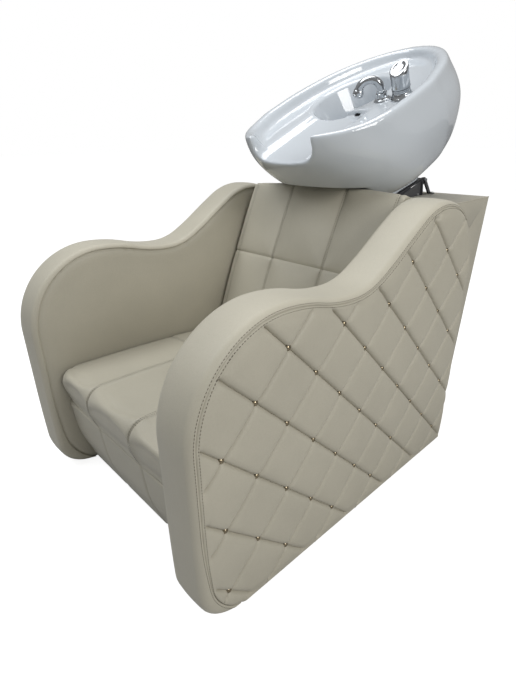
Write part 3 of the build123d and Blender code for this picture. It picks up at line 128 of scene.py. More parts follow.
def smooth_run(start, start_angle, end, end_angle, step):
    """Points along two tangent arcs, or one straight line, from one point and heading to the next."""
    t0 = heading(start_angle)
    t1 = heading(end_angle)
    v = np.subtract(end, start)
    if abs(v[0] * t0[1] - v[1] * t0[0]) < 1e-6 * np.hypot(*v):
        return arc_points(start, start_angle, end, step)[0]
    same = 1 - t0 @ t1
    along = v @ (t0 + t1)
    if same < 1e-9:
        reach = (v @ v) / (4 * (v @ t1))
    else:
        reach = (-along + sqrt(along**2 + 2 * same * (v @ v))) / (2 * same)
    middle = (np.add(start, end) + reach * (t0 - t1)) / 2
    first, angle = arc_points(start, start_angle, middle, step)
    second, _ = arc_points(middle, angle, end, step)
    return first + second


def arm_nodes(inset):
    length = ARM_HIGH.y - ARM_LOW.y
    height = ARM_HIGH.z - ARM_LOW.z
    nodes = []
    for back, up, angle, depth in ARM_OUTLINE_SHARES:
        place = np.array((ARM_LOW.y + back * length, ARM_LOW.z + up * height))
        nodes.append((place + inset * depth * heading(angle - 90), angle))
    if inset > 0:
        nodes[0] = (nodes[0][0] + np.array((TOE_BACK, 0)), TOE_HEADING)
    return nodes


def arm_path(inset, step=6 * MM):
    """The arm's outline in (y, z), from the toe over the top and down the rear to the floor."""
    nodes = arm_nodes(inset)
    points = [nodes[0][0]]
    for (p0, a0), (p1, a1) in zip(nodes, nodes[1:]):
        points += smooth_run(p0, a0, p1, a1, step)
    corner = np.array((nodes[-1][0][0], ARM_LOW.z))
    down = ceil((points[-1][1] - corner[1]) / step)
    top = points[-1]
    points += [top + (corner - top) * i / down for i in range(1, down + 1)]
    return np.array(points)


def resampled(points, count):
    """The same polyline with count points evenly spaced along it."""
    points = np.asarray(points, float)
    gaps = np.linalg.norm(np.diff(points, axis=0), axis=1)
    along = np.concatenate(([0], np.cumsum(gaps)))
    even = np.linspace(0, along[-1], count)
    return np.stack([np.interp(even, along, points[:, i]) for i in range(points.shape[1])], axis=1)


def inside(points, outline):
    """Which points lie inside a closed outline."""
    x, y = points[:, 0], points[:, 1]
    result = np.zeros(len(points), bool)
    for (x0, y0), (x1, y1) in zip(outline, np.roll(outline, -1, axis=0)):
        if y0 == y1:
            continue
        crosses = (y0 > y) != (y1 > y)
        result ^= crosses & (x < (x1 - x0) * (y - y0) / (y1 - y0) + x0)
    return result


def nearest_on(points, outline, closed=True):
    """Distance from each point to a polyline, and the nearest place on it."""
    ends = np.roll(outline, -1, axis=0) if closed else outline[1:]
    starts = outline if closed else outline[:-1]
    best = np.full(len(points), np.inf)
    place = np.zeros_like(points)
    for a, b in zip(starts, ends):
        v = b - a
        square = v @ v
        if square < 1e-14:
            continue
        share = np.clip(((points - a) @ v) / square, 0, 1)
        spot = a + share[:, None] * v
        far = np.hypot(*(points - spot).T)
        near = far < best
        best[near] = far[near]
        place[near] = spot[near]
    return best, place


def rounded(distance, radius, drop):
    """How far an edge roll of a given radius lies under the face, at a distance from the edge."""
    share = np.clip(1 - distance / radius, 0, 1)
    return drop * (1 - np.sqrt(1 - share**2))


def round_rise(distance, radius):
    """How far a round edge has risen at a distance in from its start."""
    return np.sqrt(np.maximum(radius**2 - (radius - np.minimum(distance, radius)) ** 2, 0))


def smoothstep(value, low, high):
    share = np.clip((value - low) / (high - low), 0, 1)
    return share * share * (3 - 2 * share)


def clear_selection():
    if bpy.context.object and bpy.context.object.mode != "OBJECT":
        bpy.ops.object.mode_set(mode="OBJECT")
    bpy.ops.object.select_all(action="DESELECT")


def pick(piece):
    clear_selection()
    piece.select_set(True)
    bpy.context.view_layer.objects.active = piece


def apply_modifier(piece, kind, name, **values):
    pick(piece)
    modifier = piece.modifiers.new(name, kind)
    for key, value in values.items():
        setattr(modifier, key, value)
    bpy.ops.object.modifier_apply(modifier=modifier.name)


def joined(*pieces):
    """Makes several pieces one, and gives back the first."""
    clear_selection()
    for piece in pieces:
        piece.select_set(True)
    bpy.context.view_layer.objects.active = pieces[0]
    bpy.ops.object.join()
    return pieces[0]


def edited(piece, *steps):
    """Runs edit steps on the whole mesh, and turns its normals outward."""
    pick(piece)
    bpy.ops.object.mode_set(mode="EDIT")
    bpy.ops.mesh.select_all(action="SELECT")
    for step, values in steps:
        step(**values)
    bpy.ops.mesh.normals_make_consistent(inside=False)
    bpy.ops.object.mode_set(mode="OBJECT")
    return piece


def edit_with(piece, change):
    """Runs change on the piece's edit mesh, and turns its normals outward."""
    pick(piece)
    bpy.ops.object.mode_set(mode="EDIT")
    work = bmesh.from_edit_mesh(piece.data)
    change(work)
    bmesh.ops.recalc_face_normals(work, faces=work.faces)
    bmesh.update_edit_mesh(piece.data)
    bpy.ops.object.mode_set(mode="OBJECT")
    return piece


def places_of(piece):
    return np.array([v.co for v in piece.data.vertices])


def move_to(piece, places):
    piece.data.vertices.foreach_set("co", places.astype(np.float32).ravel())
    piece.data.update()


def all_smooth(piece):
    for polygon in piece.data.polygons:
        polygon.use_smooth = True
    return piece


def mesh_piece(name, points, faces, recalculate=True):
    mesh = bpy.data.meshes.new(name)
    mesh.from_pydata([tuple(map(float, p)) for p in points], [], [tuple(map(int, f)) for f in faces])
    mesh.validate()
    piece = bpy.data.objects.new(name, mesh)
    bpy.context.scene.collection.objects.link(piece)
    return edited(piece) if recalculate else piece


def shade(piece, angle=40):
    pick(piece)
    bpy.ops.object.shade_smooth_by_angle(angle=radians(angle))
    return piece


def node_copy(node, name):
    """A merged copy of a CAD node's mesh as a piece of its own."""
    piece = bpy.data.objects.new(name, frame["nodes"][node].data.copy())
    bpy.context.scene.collection.objects.link(piece)
    piece.data.materials.clear()
    return edited(piece, (bpy.ops.mesh.remove_doubles, {"threshold": 0.02 * MM}))


def flipped(piece, name):
    """A copy on the sitter's right of a piece on the left."""
    twin = bpy.data.objects.new(name, piece.data.copy())
    bpy.context.scene.collection.objects.link(twin)
    twin.data.transform(Matrix.Scale(-1, 4, (1, 0, 0)))
    twin.data.flip_normals()
    return twin


def finished(piece, body, material, replaces=()):
    piece.data.materials.clear()
    piece.data.materials.append(material)
    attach(piece, body)
    if replaces:
        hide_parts(*replaces)
    return piece


def grid_faces(rows, columns, wrap=False):
    """The faces of a grid of points, whose columns may run round a ring."""
    faces = []
    for i in range(rows - 1):
        for j in range(columns if wrap else columns - 1):
            k = (j + 1) % columns
            faces.append((i * columns + j, i * columns + k, (i + 1) * columns + k, (i + 1) * columns + j))
    return faces


def capped_faces(rows, ring):
    """The faces of a tube of rings, with a face over each end."""
    ends = [tuple(range(ring)), tuple((rows - 1) * ring + k for k in reversed(range(ring)))]
    return grid_faces(rows, ring, wrap=True) + ends


def turned(profile, ring, place):
    """Points and faces of a turned body, from its profile of (radius, height).

    place(radius, turn, height) gives a point. A radius of nought makes a tip, and a profile without one
    is joined up into a ring."""
    points = []
    rows = []
    for radius, height in profile:
        turns = [2 * pi * k / ring for k in range(ring if radius > 0 else 1)]
        rows.append(range(len(points), len(points) + len(turns)))
        points.extend(place(radius, turn, height) for turn in turns)
    pairs = list(zip(rows, rows[1:]))
    if profile[0][0] > 0 and profile[-1][0] > 0:
        pairs.append((rows[-1], rows[0]))
    faces = []
    for low, high in pairs:
        for k in range(ring):
            a, b = low[k % len(low)], low[(k + 1) % len(low)]
            c, d = high[(k + 1) % len(high)], high[k % len(high)]
            face = tuple(dict.fromkeys((a, b, c, d)))
            if len(face) > 2:
                faces.append(face)
    return points, faces


def between(marks, step):
    """The marks, with even places between them, about a step apart."""
    places = [marks[0]]
    for a, b in zip(marks, marks[1:]):
        amount = max(1, round((b - a) / step))
        places += [a + (b - a) * i / amount for i in range(1, amount + 1)]
    return np.array(places)


def thread_piece(name, runs, stitch, gap, radius):
    """Small raised stitches laid along runs of points, each run with its own surface normals."""
    ring = 6
    profile = ((-0.5, 0.25), (-0.36, 0.85), (0.36, 0.85), (0.5, 0.25))
    stitch_faces = capped_faces(len(profile), ring)
    points = []
    faces = []
    for line, normals in runs:
        line = np.asarray(line, float)
        gaps = np.linalg.norm(np.diff(line, axis=0), axis=1)
        along = np.concatenate(([0], np.cumsum(gaps)))
        count = int(along[-1] // (stitch + gap))
        centres = (np.arange(count) + 0.5) * (along[-1] / max(count, 1))

        def along_run(where, values):
            return np.stack([np.interp(where, along, values[:, i]) for i in range(3)], axis=1)

        at = along_run(centres, line)
        ahead = along_run(centres + stitch / 2, line)
        behind = along_run(centres - stitch / 2, line)
        up = along_run(centres, np.asarray(normals))
        way = ahead - behind
        way /= np.linalg.norm(way, axis=1)[:, None]
        up -= (up * way).sum(1)[:, None] * way
        up /= np.linalg.norm(up, axis=1)[:, None]
        side = np.cross(way, up)
        for p, w, u, s in zip(at, way, up, side):
            base = len(points)
            for place, wide in profile:
                for k in range(ring):
                    turn = 2 * pi * k / ring
                    points.append(p + w * place * stitch + radius * wide * (u * cos(turn) + s * sin(turn)))
            faces.extend(tuple(base + k for k in face) for face in stitch_faces)
    return all_smooth(mesh_piece(name, points, faces))


# Materials

def feed(tree, node, **values):
    """Sets or links a node's inputs, and its own settings."""
    for key, value in values.items():
        label = key.replace("_", " ")
        if label not in node.inputs:
            setattr(node, key, value)
        elif isinstance(value, bpy.types.NodeSocket):
            tree.links.new(value, node.inputs[label])
        else:
            node.inputs[label].default_value = value
    return node


def add(tree, kind, **values):
    return feed(tree, tree.nodes.new("ShaderNode" + kind), **values)


def object_place(tree):
    return add(tree, "TexCoord").outputs["Object"]


def noise(tree, **values):
    """The outputs of a noise over the piece's own place."""
    return add(tree, "TexNoise", Vector=object_place(tree), **values).outputs


def maths(tree, operation, first, second):
    node = add(tree, "Math", operation=operation)
    for socket, value in zip(node.inputs, (first, second)):
        if isinstance(value, (int, float)):
            socket.default_value = value
        else:
            tree.links.new(value, socket)
    return node.outputs[0]


def mix_colour(tree, share, first, second, blend="MIX"):
    node = add(tree, "Mix", data_type="RGBA", blend_type=blend)
    for i, value in ((0, share), (6, first), (7, second)):
        if isinstance(value, (int, float, tuple)):
            node.inputs[i].default_value = value
        else:
            tree.links.new(value, node.inputs[i])
    return node.outputs[2]


def tinted(colour, share=1.0):
    return tuple(min(1, c * share) for c in colour) + (1,)


def new_group(name, inputs, outputs):
    """A shader group of plain values, with its inner sockets."""
    group = bpy.data.node_groups.new(name, "ShaderNodeTree")
    for label, default in inputs:
        socket = group.interface.new_socket(name=label, in_out="INPUT", socket_type="NodeSocketFloat")
        socket.default_value = default
    for label in outputs:
        group.interface.new_socket(name=label, in_out="OUTPUT", socket_type="NodeSocketFloat")
    return group, group.nodes.new("NodeGroupInput").outputs, group.nodes.new("NodeGroupOutput")


def grain_group():
    """Pebbled leatherette grain: fine cells with creases between them, over a slow uneven tone."""
    group, enter, leave = new_group(
        "pebbled_grain", (("Cell Scale", 700.0), ("Tone Scale", 7.0)), ("Height", "Tone", "Crease"))
    warp = noise(group, Scale=260.0, Detail=2.0)
    moved = add(group, "VectorMath", operation="MULTIPLY_ADD")
    group.links.new(warp["Color"], moved.inputs[0])
    moved.inputs[1].default_value = (0.0016, 0.0016, 0.0016)
    group.links.new(object_place(group), moved.inputs[2])
    cells = add(group, "TexVoronoi", feature="DISTANCE_TO_EDGE", Vector=moved.outputs[0],
                Scale=enter["Cell Scale"])
    crease = add(group, "MapRange", From_Max=0.16, Value=cells.outputs["Distance"]).outputs["Result"]
    slow = noise(group, Detail=3.0, Roughness=0.55, Scale=enter["Tone Scale"])
    ripple = noise(group, Scale=38.0, Detail=2.0)
    height = maths(group, "ADD", crease, maths(group, "MULTIPLY", ripple["Fac"], 1.6))
    feed(group, leave, Height=height, Tone=slow["Fac"], Crease=crease)
    return group


def smudge_group():
    """Slow uneven smudges for glazes and polished metal."""
    group, enter, leave = new_group(
        "faint_smudges", (("Scale", 14.0), ("Low", 0.05), ("High", 0.12)), ("Roughness", "Tone"))
    tone = noise(group, Detail=4.0, Roughness=0.6, Scale=enter["Scale"])["Fac"]
    spread = add(group, "MapRange", From_Min=0.3, From_Max=0.7, Value=tone, To_Min=enter["Low"],
                 To_Max=enter["High"])
    feed(group, leave, Roughness=spread.outputs["Result"], Tone=tone)
    return group


def edge_group():
    """Where a piece's edges and hollows are, from how its surface bends: for wear on the edges and painted
    shade in the hollows.
    """
    group, enter, leave = new_group(
        "edges_and_hollows", (("Edge Start", 0.52), ("Hollow Start", 0.47)), ("Edge", "Hollow"))
    bend = add(group, "NewGeometry").outputs["Pointiness"]
    for label, full in (("Edge", 0.62), ("Hollow", 0.36)):
        spread = add(group, "MapRange", Value=bend, From_Min=enter[label + " Start"], From_Max=full)
        group.links.new(spread.outputs["Result"], leave.inputs[label])
    return group


def blank_material(name):
    material = bpy.data.materials.new(name)
    material.use_nodes = True
    tree = material.node_tree
    return material, tree, tree.nodes["Principled BSDF"]


def use_group(tree, group, **values):
    return add(tree, "Group", node_tree=group, **values).outputs


def bump(tree, shader, height, strength, distance):
    node = add(tree, "Bump", Strength=strength, Distance=distance, Height=height)
    tree.links.new(node.outputs["Normal"], shader.inputs["Normal"])


def leather_material(groups, colour):
    """Soft leatherette with a pebbled grain, a low sheen, and painted shade that makes it slightly darker in
    its seams and hollows.
    """
    material, tree, shader = blank_material("greige_leatherette")
    grain = use_group(tree, groups["grain"])
    bends = use_group(tree, groups["edges"])
    tone = mix_colour(tree, grain["Tone"], tinted(colour, 0.90), tinted(colour, 1.06))
    # Painted shade: the hollows and seams, found from the pointiness, are mixed towards this darker colour.
    shadow = tuple(c * f for c, f in zip(colour, (0.50, 0.45, 0.38))) + (1,)
    hollow = mix_colour(tree, maths(tree, "MULTIPLY", bends["Hollow"], 0.45), tone, shadow)
    # Lighter on the edges for wear, over the painted shade in the hollows.
    wear_and_shade = mix_colour(tree, maths(tree, "MULTIPLY", bends["Edge"], 0.22), hollow, tinted(colour, 1.25))
    # The grain's creases are darkened towards a greyer colour.
    grain_crease_share = maths(tree, "SUBTRACT", 1.0, grain["Crease"])
    deep = mix_colour(tree, grain_crease_share, wear_and_shade, (0.55, 0.53, 0.48, 1), "MULTIPLY")
    rough = add(tree, "MapRange", To_Min=0.40, To_Max=0.56, Value=grain["Tone"])
    feed(tree, shader, Base_Color=mix_colour(tree, 0.35, wear_and_shade, deep), Roughness=rough.outputs["Result"],
         Specular_IOR_Level=0.42, Sheen_Weight=0.12, Sheen_Roughness=0.45)
    bump(tree, shader, grain["Height"], 0.32, 0.00025)
    return material


def thread_material(colour):
    material, tree, shader = blank_material("seam_thread")
    twist = noise(tree, Scale=900.0, Detail=2.0)["Fac"]
    feed(tree, shader, Base_Color=mix_colour(tree, twist, tinted(colour, 0.7), tinted(colour)), Roughness=0.7)
    bump(tree, shader, twist, 0.3, 0.0002)
    return material


def ceramic_material(groups, colour):
    """White glaze: a faintly cool body under a clear coat, with slow ripples in the shine."""
    material, tree, shader = blank_material("white_glaze")
    smudge = use_group(tree, groups["smudges"], Scale=9.0, Low=0.05, High=0.10)
    tone = mix_colour(tree, smudge["Tone"], tinted(colour, 0.965), tinted(colour))
    feed(tree, shader, Base_Color=tone, Roughness=smudge["Roughness"], IOR=1.52, Coat_Weight=0.6,
         Coat_Roughness=0.04)
    bump(tree, shader, noise(tree, Scale=16.0, Detail=1.0)["Fac"], 0.12, 0.001)
    return material


def metal_material(name, groups, colour, low, high, scale=20.0, wear=0.0):
    """Plated or polished metal: smudged shine, painted shade that darkens it in its hollows, with fine marks.
    """
    material, tree, shader = blank_material(name)
    smudge = use_group(tree, groups["smudges"], Scale=scale, Low=low, High=high)
    bends = use_group(tree, groups["edges"])
    tone = mix_colour(tree, smudge["Tone"], tinted(colour, 0.86), tinted(colour))
    # Painted shade: the hollows are mixed towards a darker copy of the colour.
    wear_and_shade = mix_colour(tree, maths(tree, "MULTIPLY", bends["Hollow"], 0.5), tone, tinted(colour, 0.4))
    feed(tree, shader, Base_Color=wear_and_shade, Roughness=smudge["Roughness"], Metallic=1.0)
    bump(tree, shader, noise(tree, Scale=240.0, Detail=3.0)["Fac"], 0.04 + wear, 0.0002)
    return material


def coated_material(name, groups, colour, low, high, bare=None, texture=300.0, lift=0.25):
    """Paint, plastic or rubber: a fine texture, and edges that show a second colour."""
    material, tree, shader = blank_material(name)
    smudge = use_group(tree, groups["smudges"], Scale=18.0, Low=low, High=high)
    bends = use_group(tree, groups["edges"])
    tone = mix_colour(tree, smudge["Tone"], tinted(colour, 0.8), tinted(colour))
    shown = tinted(bare) if bare else tinted(colour, 2)
    wear_and_shade = mix_colour(tree, maths(tree, "MULTIPLY", bends["Edge"], 0.4), tone, shown)
    feed(tree, shader, Base_Color=wear_and_shade, Roughness=smudge["Roughness"])
    bump(tree, shader, noise(tree, Scale=texture, Detail=2.0)["Fac"], lift, 0.0003)
    return material


def plywood_material(colour):
    """Plain birch ply: long stretched grain in the face."""
    material, tree, shader = blank_material("birch_ply")
    stretch = add(tree, "Mapping", Scale=(3.0, 60.0, 60.0), Vector=object_place(tree))
    grain = add(tree, "TexNoise", Scale=1.6, Detail=6.0, Roughness=0.6, Vector=stretch.outputs["Vector"])
    tone = mix_colour(tree, grain.outputs["Fac"], tinted(colour, 0.72), tinted(colour))
    feed(tree, shader, Base_Color=tone, Roughness=0.62)
    bump(tree, shader, grain.outputs["Fac"], 0.2, 0.0006)
    return material


def make_materials():
    looks = bpy.context.scene.washing_bed_looks
    groups = {"grain": grain_group(), "smudges": smudge_group(), "edges": edge_group()}
    made = {
        "leatherette": leather_material(groups, tuple(looks.leather_colour)),
        "thread": thread_material(tuple(looks.thread_colour)),
        "white_ceramic": ceramic_material(groups, tuple(looks.ceramic_colour)),
        "plywood": plywood_material((0.60, 0.44, 0.27)),
    }
    for slot, name, colour, low, high, scale, wear in (
        ("chrome_fittings", "bright_chrome", (0.52, 0.54, 0.56), 0.05, 0.14, 20.0, 0.0),
        ("brass_studs", "warm_brass", tuple(looks.stud_colour), 0.12, 0.24, 20.0, 0.05),
        ("zinc_steel", "zinc_plate", (0.55, 0.56, 0.58), 0.28, 0.45, 60.0, 0.1),
    ):
        made[slot] = metal_material(name, groups, colour, low, high, scale, wear)
    for slot, name, colour, low, high, bare, texture, lift in (
        ("black_steel", "black_paint", (0.028, 0.028, 0.030), 0.30, 0.45, (0.12, 0.12, 0.13), 300.0, 0.25),
        ("black_rubber", "black_rubber", (0.03, 0.03, 0.03), 0.7, 0.85, None, 500.0, 0.25),
        ("black_plastic", "black_plastic", (0.035, 0.035, 0.036), 0.42, 0.55, None, 300.0, 0.25),
        ("white_plastic", "white_plastic", (0.78, 0.79, 0.80), 0.25, 0.4, (0.8, 0.8, 0.8), 300.0, 0.1),
    ):
        made[slot] = coated_material(name, groups, colour, low, high, bare, texture, lift)
    return made


MATERIALS = {}


# Upholstered arms

def band_sections(outer, seam):
    """Across the arm from the outer seam over the edge to the inner seam, at each outline point."""
    lip_depth = 3.2 * MM
    tucks = ((0.6 * MM, 4.5 * MM), (0.1 * MM, 1.8 * MM))
    crown = 1.6 * MM
    shares = (1.0, 0.8, 0.6, 0.44, 0.30, 0.18, 0.09, 0.03)
    span = ARM_HIGH.x - ARM_LOW.x - BAND_ROUND - BAND_INNER_ROUND

    def outer_x(d, sink=0.0):
        return ARM_HIGH.x - BAND_ROUND + round_rise(d, BAND_ROUND) - sink

    def inner_x(d, sink=0.0):
        return ARM_LOW.x + BAND_INNER_ROUND - round_rise(d, BAND_INNER_ROUND) + sink

    rows = []
    for p, q in zip(outer, seam):
        depth = np.hypot(*(q - p))
        way = (q - p) / max(depth, 1e-9)
        lip = min(lip_depth, depth * 0.45)
        start = depth - lip
        near = depth - lip * 0.35
        ring = [(outer_x(depth, sink), depth + past) for past, sink in tucks]
        ring.append((outer_x(near, 0.5 * MM), near))
        ring += [(outer_x(start * share), start * share) for share in shares]
        for share in np.arange(11) / 10:
            ring.append((ARM_HIGH.x - BAND_ROUND - share * span, -crown * 4 * share * (1 - share)))
        ring += [(inner_x(start * share), start * share) for share in reversed(shares)]
        ring.append((inner_x(near, 0.5 * MM), near))
        ring += [(inner_x(depth, sink), depth + past) for past, sink in reversed(tucks)]
        rows.append([(x, p[0] + d * way[0], p[1] + d * way[1]) for x, d in ring])
    return np.array(rows)


def arm_band(name):
    rows = band_sections(*matched_paths(BAND_POINTS))
    rows[..., 2] = np.maximum(rows[..., 2], ARM_LOW.z)
    return mesh_piece(name, rows.reshape(-1, 3), capped_faces(*rows.shape[:2]))


def matched_paths(count):
    """The outline and the seam inside it, run by run, so that their points answer each other."""
    outer_nodes = arm_nodes(0)
    seam_nodes = arm_nodes(BAND_DEPTH)
    total = np.zeros(len(outer_nodes))
    pair = ([outer_nodes[0][0]], [seam_nodes[0][0]])
    fine = 1 * MM
    for i in range(len(outer_nodes) - 1):
        runs = [smooth_run(*n[i], *n[i + 1], fine) for n in (outer_nodes, seam_nodes)]
        amount = max(3, int(count * len(runs[0]) * fine / 2.6))
        for side in (0, 1):
            start = pair[side][-1]
            pair[side].extend(resampled([start] + runs[side], amount + 1)[1:])
    down = 60
    for side in (0, 1):
        top = pair[side][-1]
        foot = np.array((top[0], ARM_LOW.z))
        pair[side].extend(top + (foot - top) * k / down for k in range(1, down + 1))
    return np.array(pair[0]), np.array(pair[1])


def panel_outline(inset):
    """The closed outline of a panel inside the band, in (y, z)."""
    path = arm_path(inset, step=3 * MM)
    return resampled(np.vstack((path, path[:1])), 900)[:-1]


def panel_depths(places):
    """How far points in (y, z) lie inside the band's seam, and inside the arm's outline."""
    border, _ = nearest_on(places, panel_outline(BAND_DEPTH))
    edge, _ = nearest_on(places, arm_path(0, step=4 * MM), closed=False)
    return border, edge


def panel_mesh(name, grid, x_of, back_x):
    """A closed padded panel: a grid cut to the band's seam, pushed out to x_of, with a flat back."""
    outline = panel_outline(BAND_DEPTH + PANEL_GAP)
    rows, columns = grid.shape[:2]
    flat = grid.reshape(-1, 2)
    within = inside(flat, outline)
    faces = [face for face in grid_faces(rows, columns) if sum(within[k] for k in face) >= 3]
    used = sorted({k for face in faces for k in face})
    index = {k: i for i, k in enumerate(used)}
    places = flat[used].copy()
    faces = [tuple(index[k] for k in face) for face in faces]
    edges = Counter((min(a, b), max(a, b)) for face in faces for a, b in zip(face, face[1:] + face[:1]))
    rim = sorted({k for edge, uses in edges.items() if uses == 1 for k in edge})
    _, spots = nearest_on(places[rim], outline)
    places[rim] = spots
    x = x_of(places)
    front = [(x[i], places[i, 0], places[i, 1]) for i in range(len(places))]
    piece = mesh_piece(name, front, faces, recalculate=False)

    def close_back(work):
        border = [e for e in work.edges if e.is_boundary]
        made = bmesh.ops.extrude_edge_only(work, edges=border)["geom"]
        for v in made:
            if isinstance(v, bmesh.types.BMVert):
                v.co.x = back_x
        bmesh.ops.contextual_create(work, geom=[e for e in made if isinstance(e, bmesh.types.BMEdge)])

    return edit_with(piece, close_back)


def quilt_origin():
    """Where deep line 0 and fine line 0 would cross, in (y, z)."""
    return np.array((ARM_LOW.y + QUILT_START_BACK, ARM_HIGH.z - QUILT_START_DOWN))


def quilt_place(line, step):
    y, z = quilt_origin()
    return np.array((y + QUILT_STEP_BACK * (step - line), z - QUILT_STEP_DOWN * (line + step)))


def quilt_x(places):
    """The quilted face: pillows between the sewn lines, dimpled at the studs, rolled at the border."""
    y0, z0 = quilt_origin()
    along = (places[:, 0] - y0) / QUILT_STEP_BACK
    down = (z0 - places[:, 1]) / QUILT_STEP_DOWN
    line = (down - along) / 2
    step = (down + along) / 2
    side = sqrt(QUILT_STEP_BACK**2 + QUILT_STEP_DOWN**2)
    deep = np.abs(line - np.round(line)) * side
    fine = np.abs(step - np.round(step)) * side
    border, edge = panel_depths(places)
    fade = smoothstep(border, 2 * MM, 16 * MM)
    deep_drop = rounded(deep, 15 * MM, 7.0 * MM) + rounded(deep, 46 * MM, 5.0 * MM)
    fine_drop = rounded(fine, 12 * MM, 5.2 * MM) + rounded(fine, 42 * MM, 4.4 * MM)
    groove = np.maximum(deep_drop, fine_drop) + 0.3 * np.minimum(deep_drop, fine_drop)
    crossing = np.exp(-((deep**2 + fine**2) / (10 * MM) ** 2))
    slow = 0.5 * MM * (np.sin(places[:, 0] * 31 + 1.3) * np.sin(places[:, 1] * 27 + 0.4)
                       + 0.6 * np.sin(places[:, 0] * 67 + places[:, 1] * 41))
    body = ARM_HIGH.x - BAND_ROUND + round_rise(edge, BAND_ROUND)
    roll = rounded(border, 9 * MM, 3.5 * MM)
    puff = 3.0 * MM * smoothstep(border, 2 * MM, 30 * MM)
    return body - fade * (groove + 1.2 * MM * crossing) + fade * slow + puff - roll


def quilt_grid():
    """Points in (y, z) on a lattice whose rows follow the sewn lines."""
    parts = 38
    lines = np.arange(-6 * parts, 9 * parts + 1) / parts
    steps = np.arange(-3 * parts, 11 * parts + 1) / parts
    y0, z0 = quilt_origin()
    line, step = np.meshgrid(lines, steps, indexing="ij")
    return np.stack((y0 + QUILT_STEP_BACK * (step - line), z0 - QUILT_STEP_DOWN * (line + step)), axis=-1)


def arm_quilt(name):
    return panel_mesh(name, quilt_grid(), quilt_x, QUILT_LOW.x + 1 * MM)


def inner_pad_x(places):
    """The inner face: plain padding, rolled at the border."""
    border, edge = panel_depths(places)
    body = ARM_LOW.x + BAND_INNER_ROUND - round_rise(edge, BAND_INNER_ROUND)
    roll = rounded(border, 26 * MM, 6.5 * MM)
    puff = 2.5 * MM * smoothstep(border, 10 * MM, 90 * MM)
    slow = 0.5 * MM * np.sin(places[:, 0] * 17 + 0.7) * np.sin(places[:, 1] * 21)
    return body + roll - puff + slow


def arm_inner_pad(name):
    step = 5 * MM
    ys = np.arange(ARM_LOW.y, ARM_HIGH.y + step, step)
    zs = np.arange(ARM_LOW.z - step, ARM_HIGH.z + step, step)
    grid = np.stack(np.meshgrid(ys, zs, indexing="ij"), axis=-1)
    return panel_mesh(name, grid, inner_pad_x, PAD_HIGH.x - 1 * MM)


STUD_SHARE = 1.12
STUD_LIFT = 5.6 * MM
STUD_RING = 14
STUD_PROFILE = ((0.0, -9.0), (1.0, -9.0), (1.0, -0.4), (6.3, -0.4), (6.5, 0.2), (6.3, 0.8), (5.6, 1.0),
                (5.2, 2.0), (4.1, 3.2), (2.6, 4.0), (1.0, 4.4), (0.0, 4.45))


def arm_studs(name):
    """Domed studs, each a low dome over a thin turned rim, seated on the quilt's crossings."""
    def place(radius, turn, height):
        wide = radius * STUD_SHARE * MM
        return height * MM, wide * cos(turn), wide * sin(turn)

    dome, dome_faces = turned(STUD_PROFILE, STUD_RING, place)
    places = np.array([quilt_place(a, b) for b, (low, high) in enumerate(STUD_ROWS)
                       for a in range(low, high + 1)])
    points = []
    faces = []
    for x, (y, z) in zip(quilt_x(places) + STUD_LIFT, places):
        faces.extend(tuple(len(points) + k for k in face) for face in dome_faces)
        points.extend(np.array(dome) + np.array((x, y, z)))
    return mesh_piece(name, points, faces)


def on_quilt(places, lift=0.0):
    """Points in (y, z) laid on the quilted face, with their outward normals."""
    places = np.asarray(places, float)
    nudge = 1 * MM
    x = quilt_x(places)
    slope_y = (quilt_x(places + np.array((nudge, 0))) - quilt_x(places - np.array((nudge, 0)))) / (2 * nudge)
    slope_z = (quilt_x(places + np.array((0, nudge))) - quilt_x(places - np.array((0, nudge)))) / (2 * nudge)
    normals = np.stack((np.ones(len(x)), -slope_y, -slope_z), axis=1)
    normals /= np.linalg.norm(normals, axis=1)[:, None]
    return np.column_stack((x, places)) + lift * normals, normals


def band_row(away):
    """A line on the band's outer face, a distance out from the seam, with its normals."""
    outer, seam = matched_paths(BAND_POINTS)
    gap = np.hypot(*(seam - outer).T)
    keep = gap > away + 2 * MM
    outer, seam, gap = outer[keep], seam[keep], gap[keep]
    way = (seam - outer) / gap[:, None]
    depth = gap - away
    rest = BAND_ROUND - np.minimum(depth, BAND_ROUND)
    out = round_rise(depth, BAND_ROUND)
    points = np.column_stack((ARM_HIGH.x - BAND_ROUND + out, outer + depth[:, None] * way))
    normals = np.column_stack((out, -rest[:, None] * way)) / BAND_ROUND
    return points, normals


def arm_thread(name):
    """Two rows along the band's seam, and one along each fine sewn line of the quilt."""
    rear_points = 83
    seam = arm_path(BAND_DEPTH + 4.5 * MM)[:-rear_points]
    runs = [band_row(4.0 * MM), on_quilt(seam)]
    outline = panel_outline(BAND_DEPTH + 14 * MM)
    for step in range(*FINE_LINES):
        ends = [quilt_place(DEEP_LINES[0], step), quilt_place(DEEP_LINES[1], step)]
        line = resampled(ends, 500)
        line = line[inside(line, outline)]
        if len(line) > 12:
            runs.append(on_quilt(line, -0.1 * MM))
    return thread_piece(name, runs, 4.2 * MM, 2.4 * MM, 0.75 * MM)


def build_arms():
    leather = MATERIALS["leatherette"]
    makers = (
        ("arm_band_cover", arm_band, "arm_band", "leatherette", leather, 0.8, 60),
        ("arm_quilt_panel", arm_quilt, "arm_quilt", "leatherette", leather, 0.7, 80),
        ("arm_inner_panel", arm_inner_pad, "arm_inner_pad", "leatherette", leather, 0.6, 60),
        ("arm_domed_studs", arm_studs, "arm_studs", "brass_studs", MATERIALS["brass_studs"], None, 35),
        ("arm_seam_thread", arm_thread, None, "leatherette", MATERIALS["thread"], None, 60),
    )
    for label, maker, node, slot, material, fill, angle in makers:
        left = shade(maker(f"left_{label}"), angle)
        right = flipped(left, f"right_{label}")
        for piece, side in ((left, "left"), (right, "right")):
            finished(piece, CHAIR, material, [f"{side}_{node}"] if node else ())


# Seat, back and apron

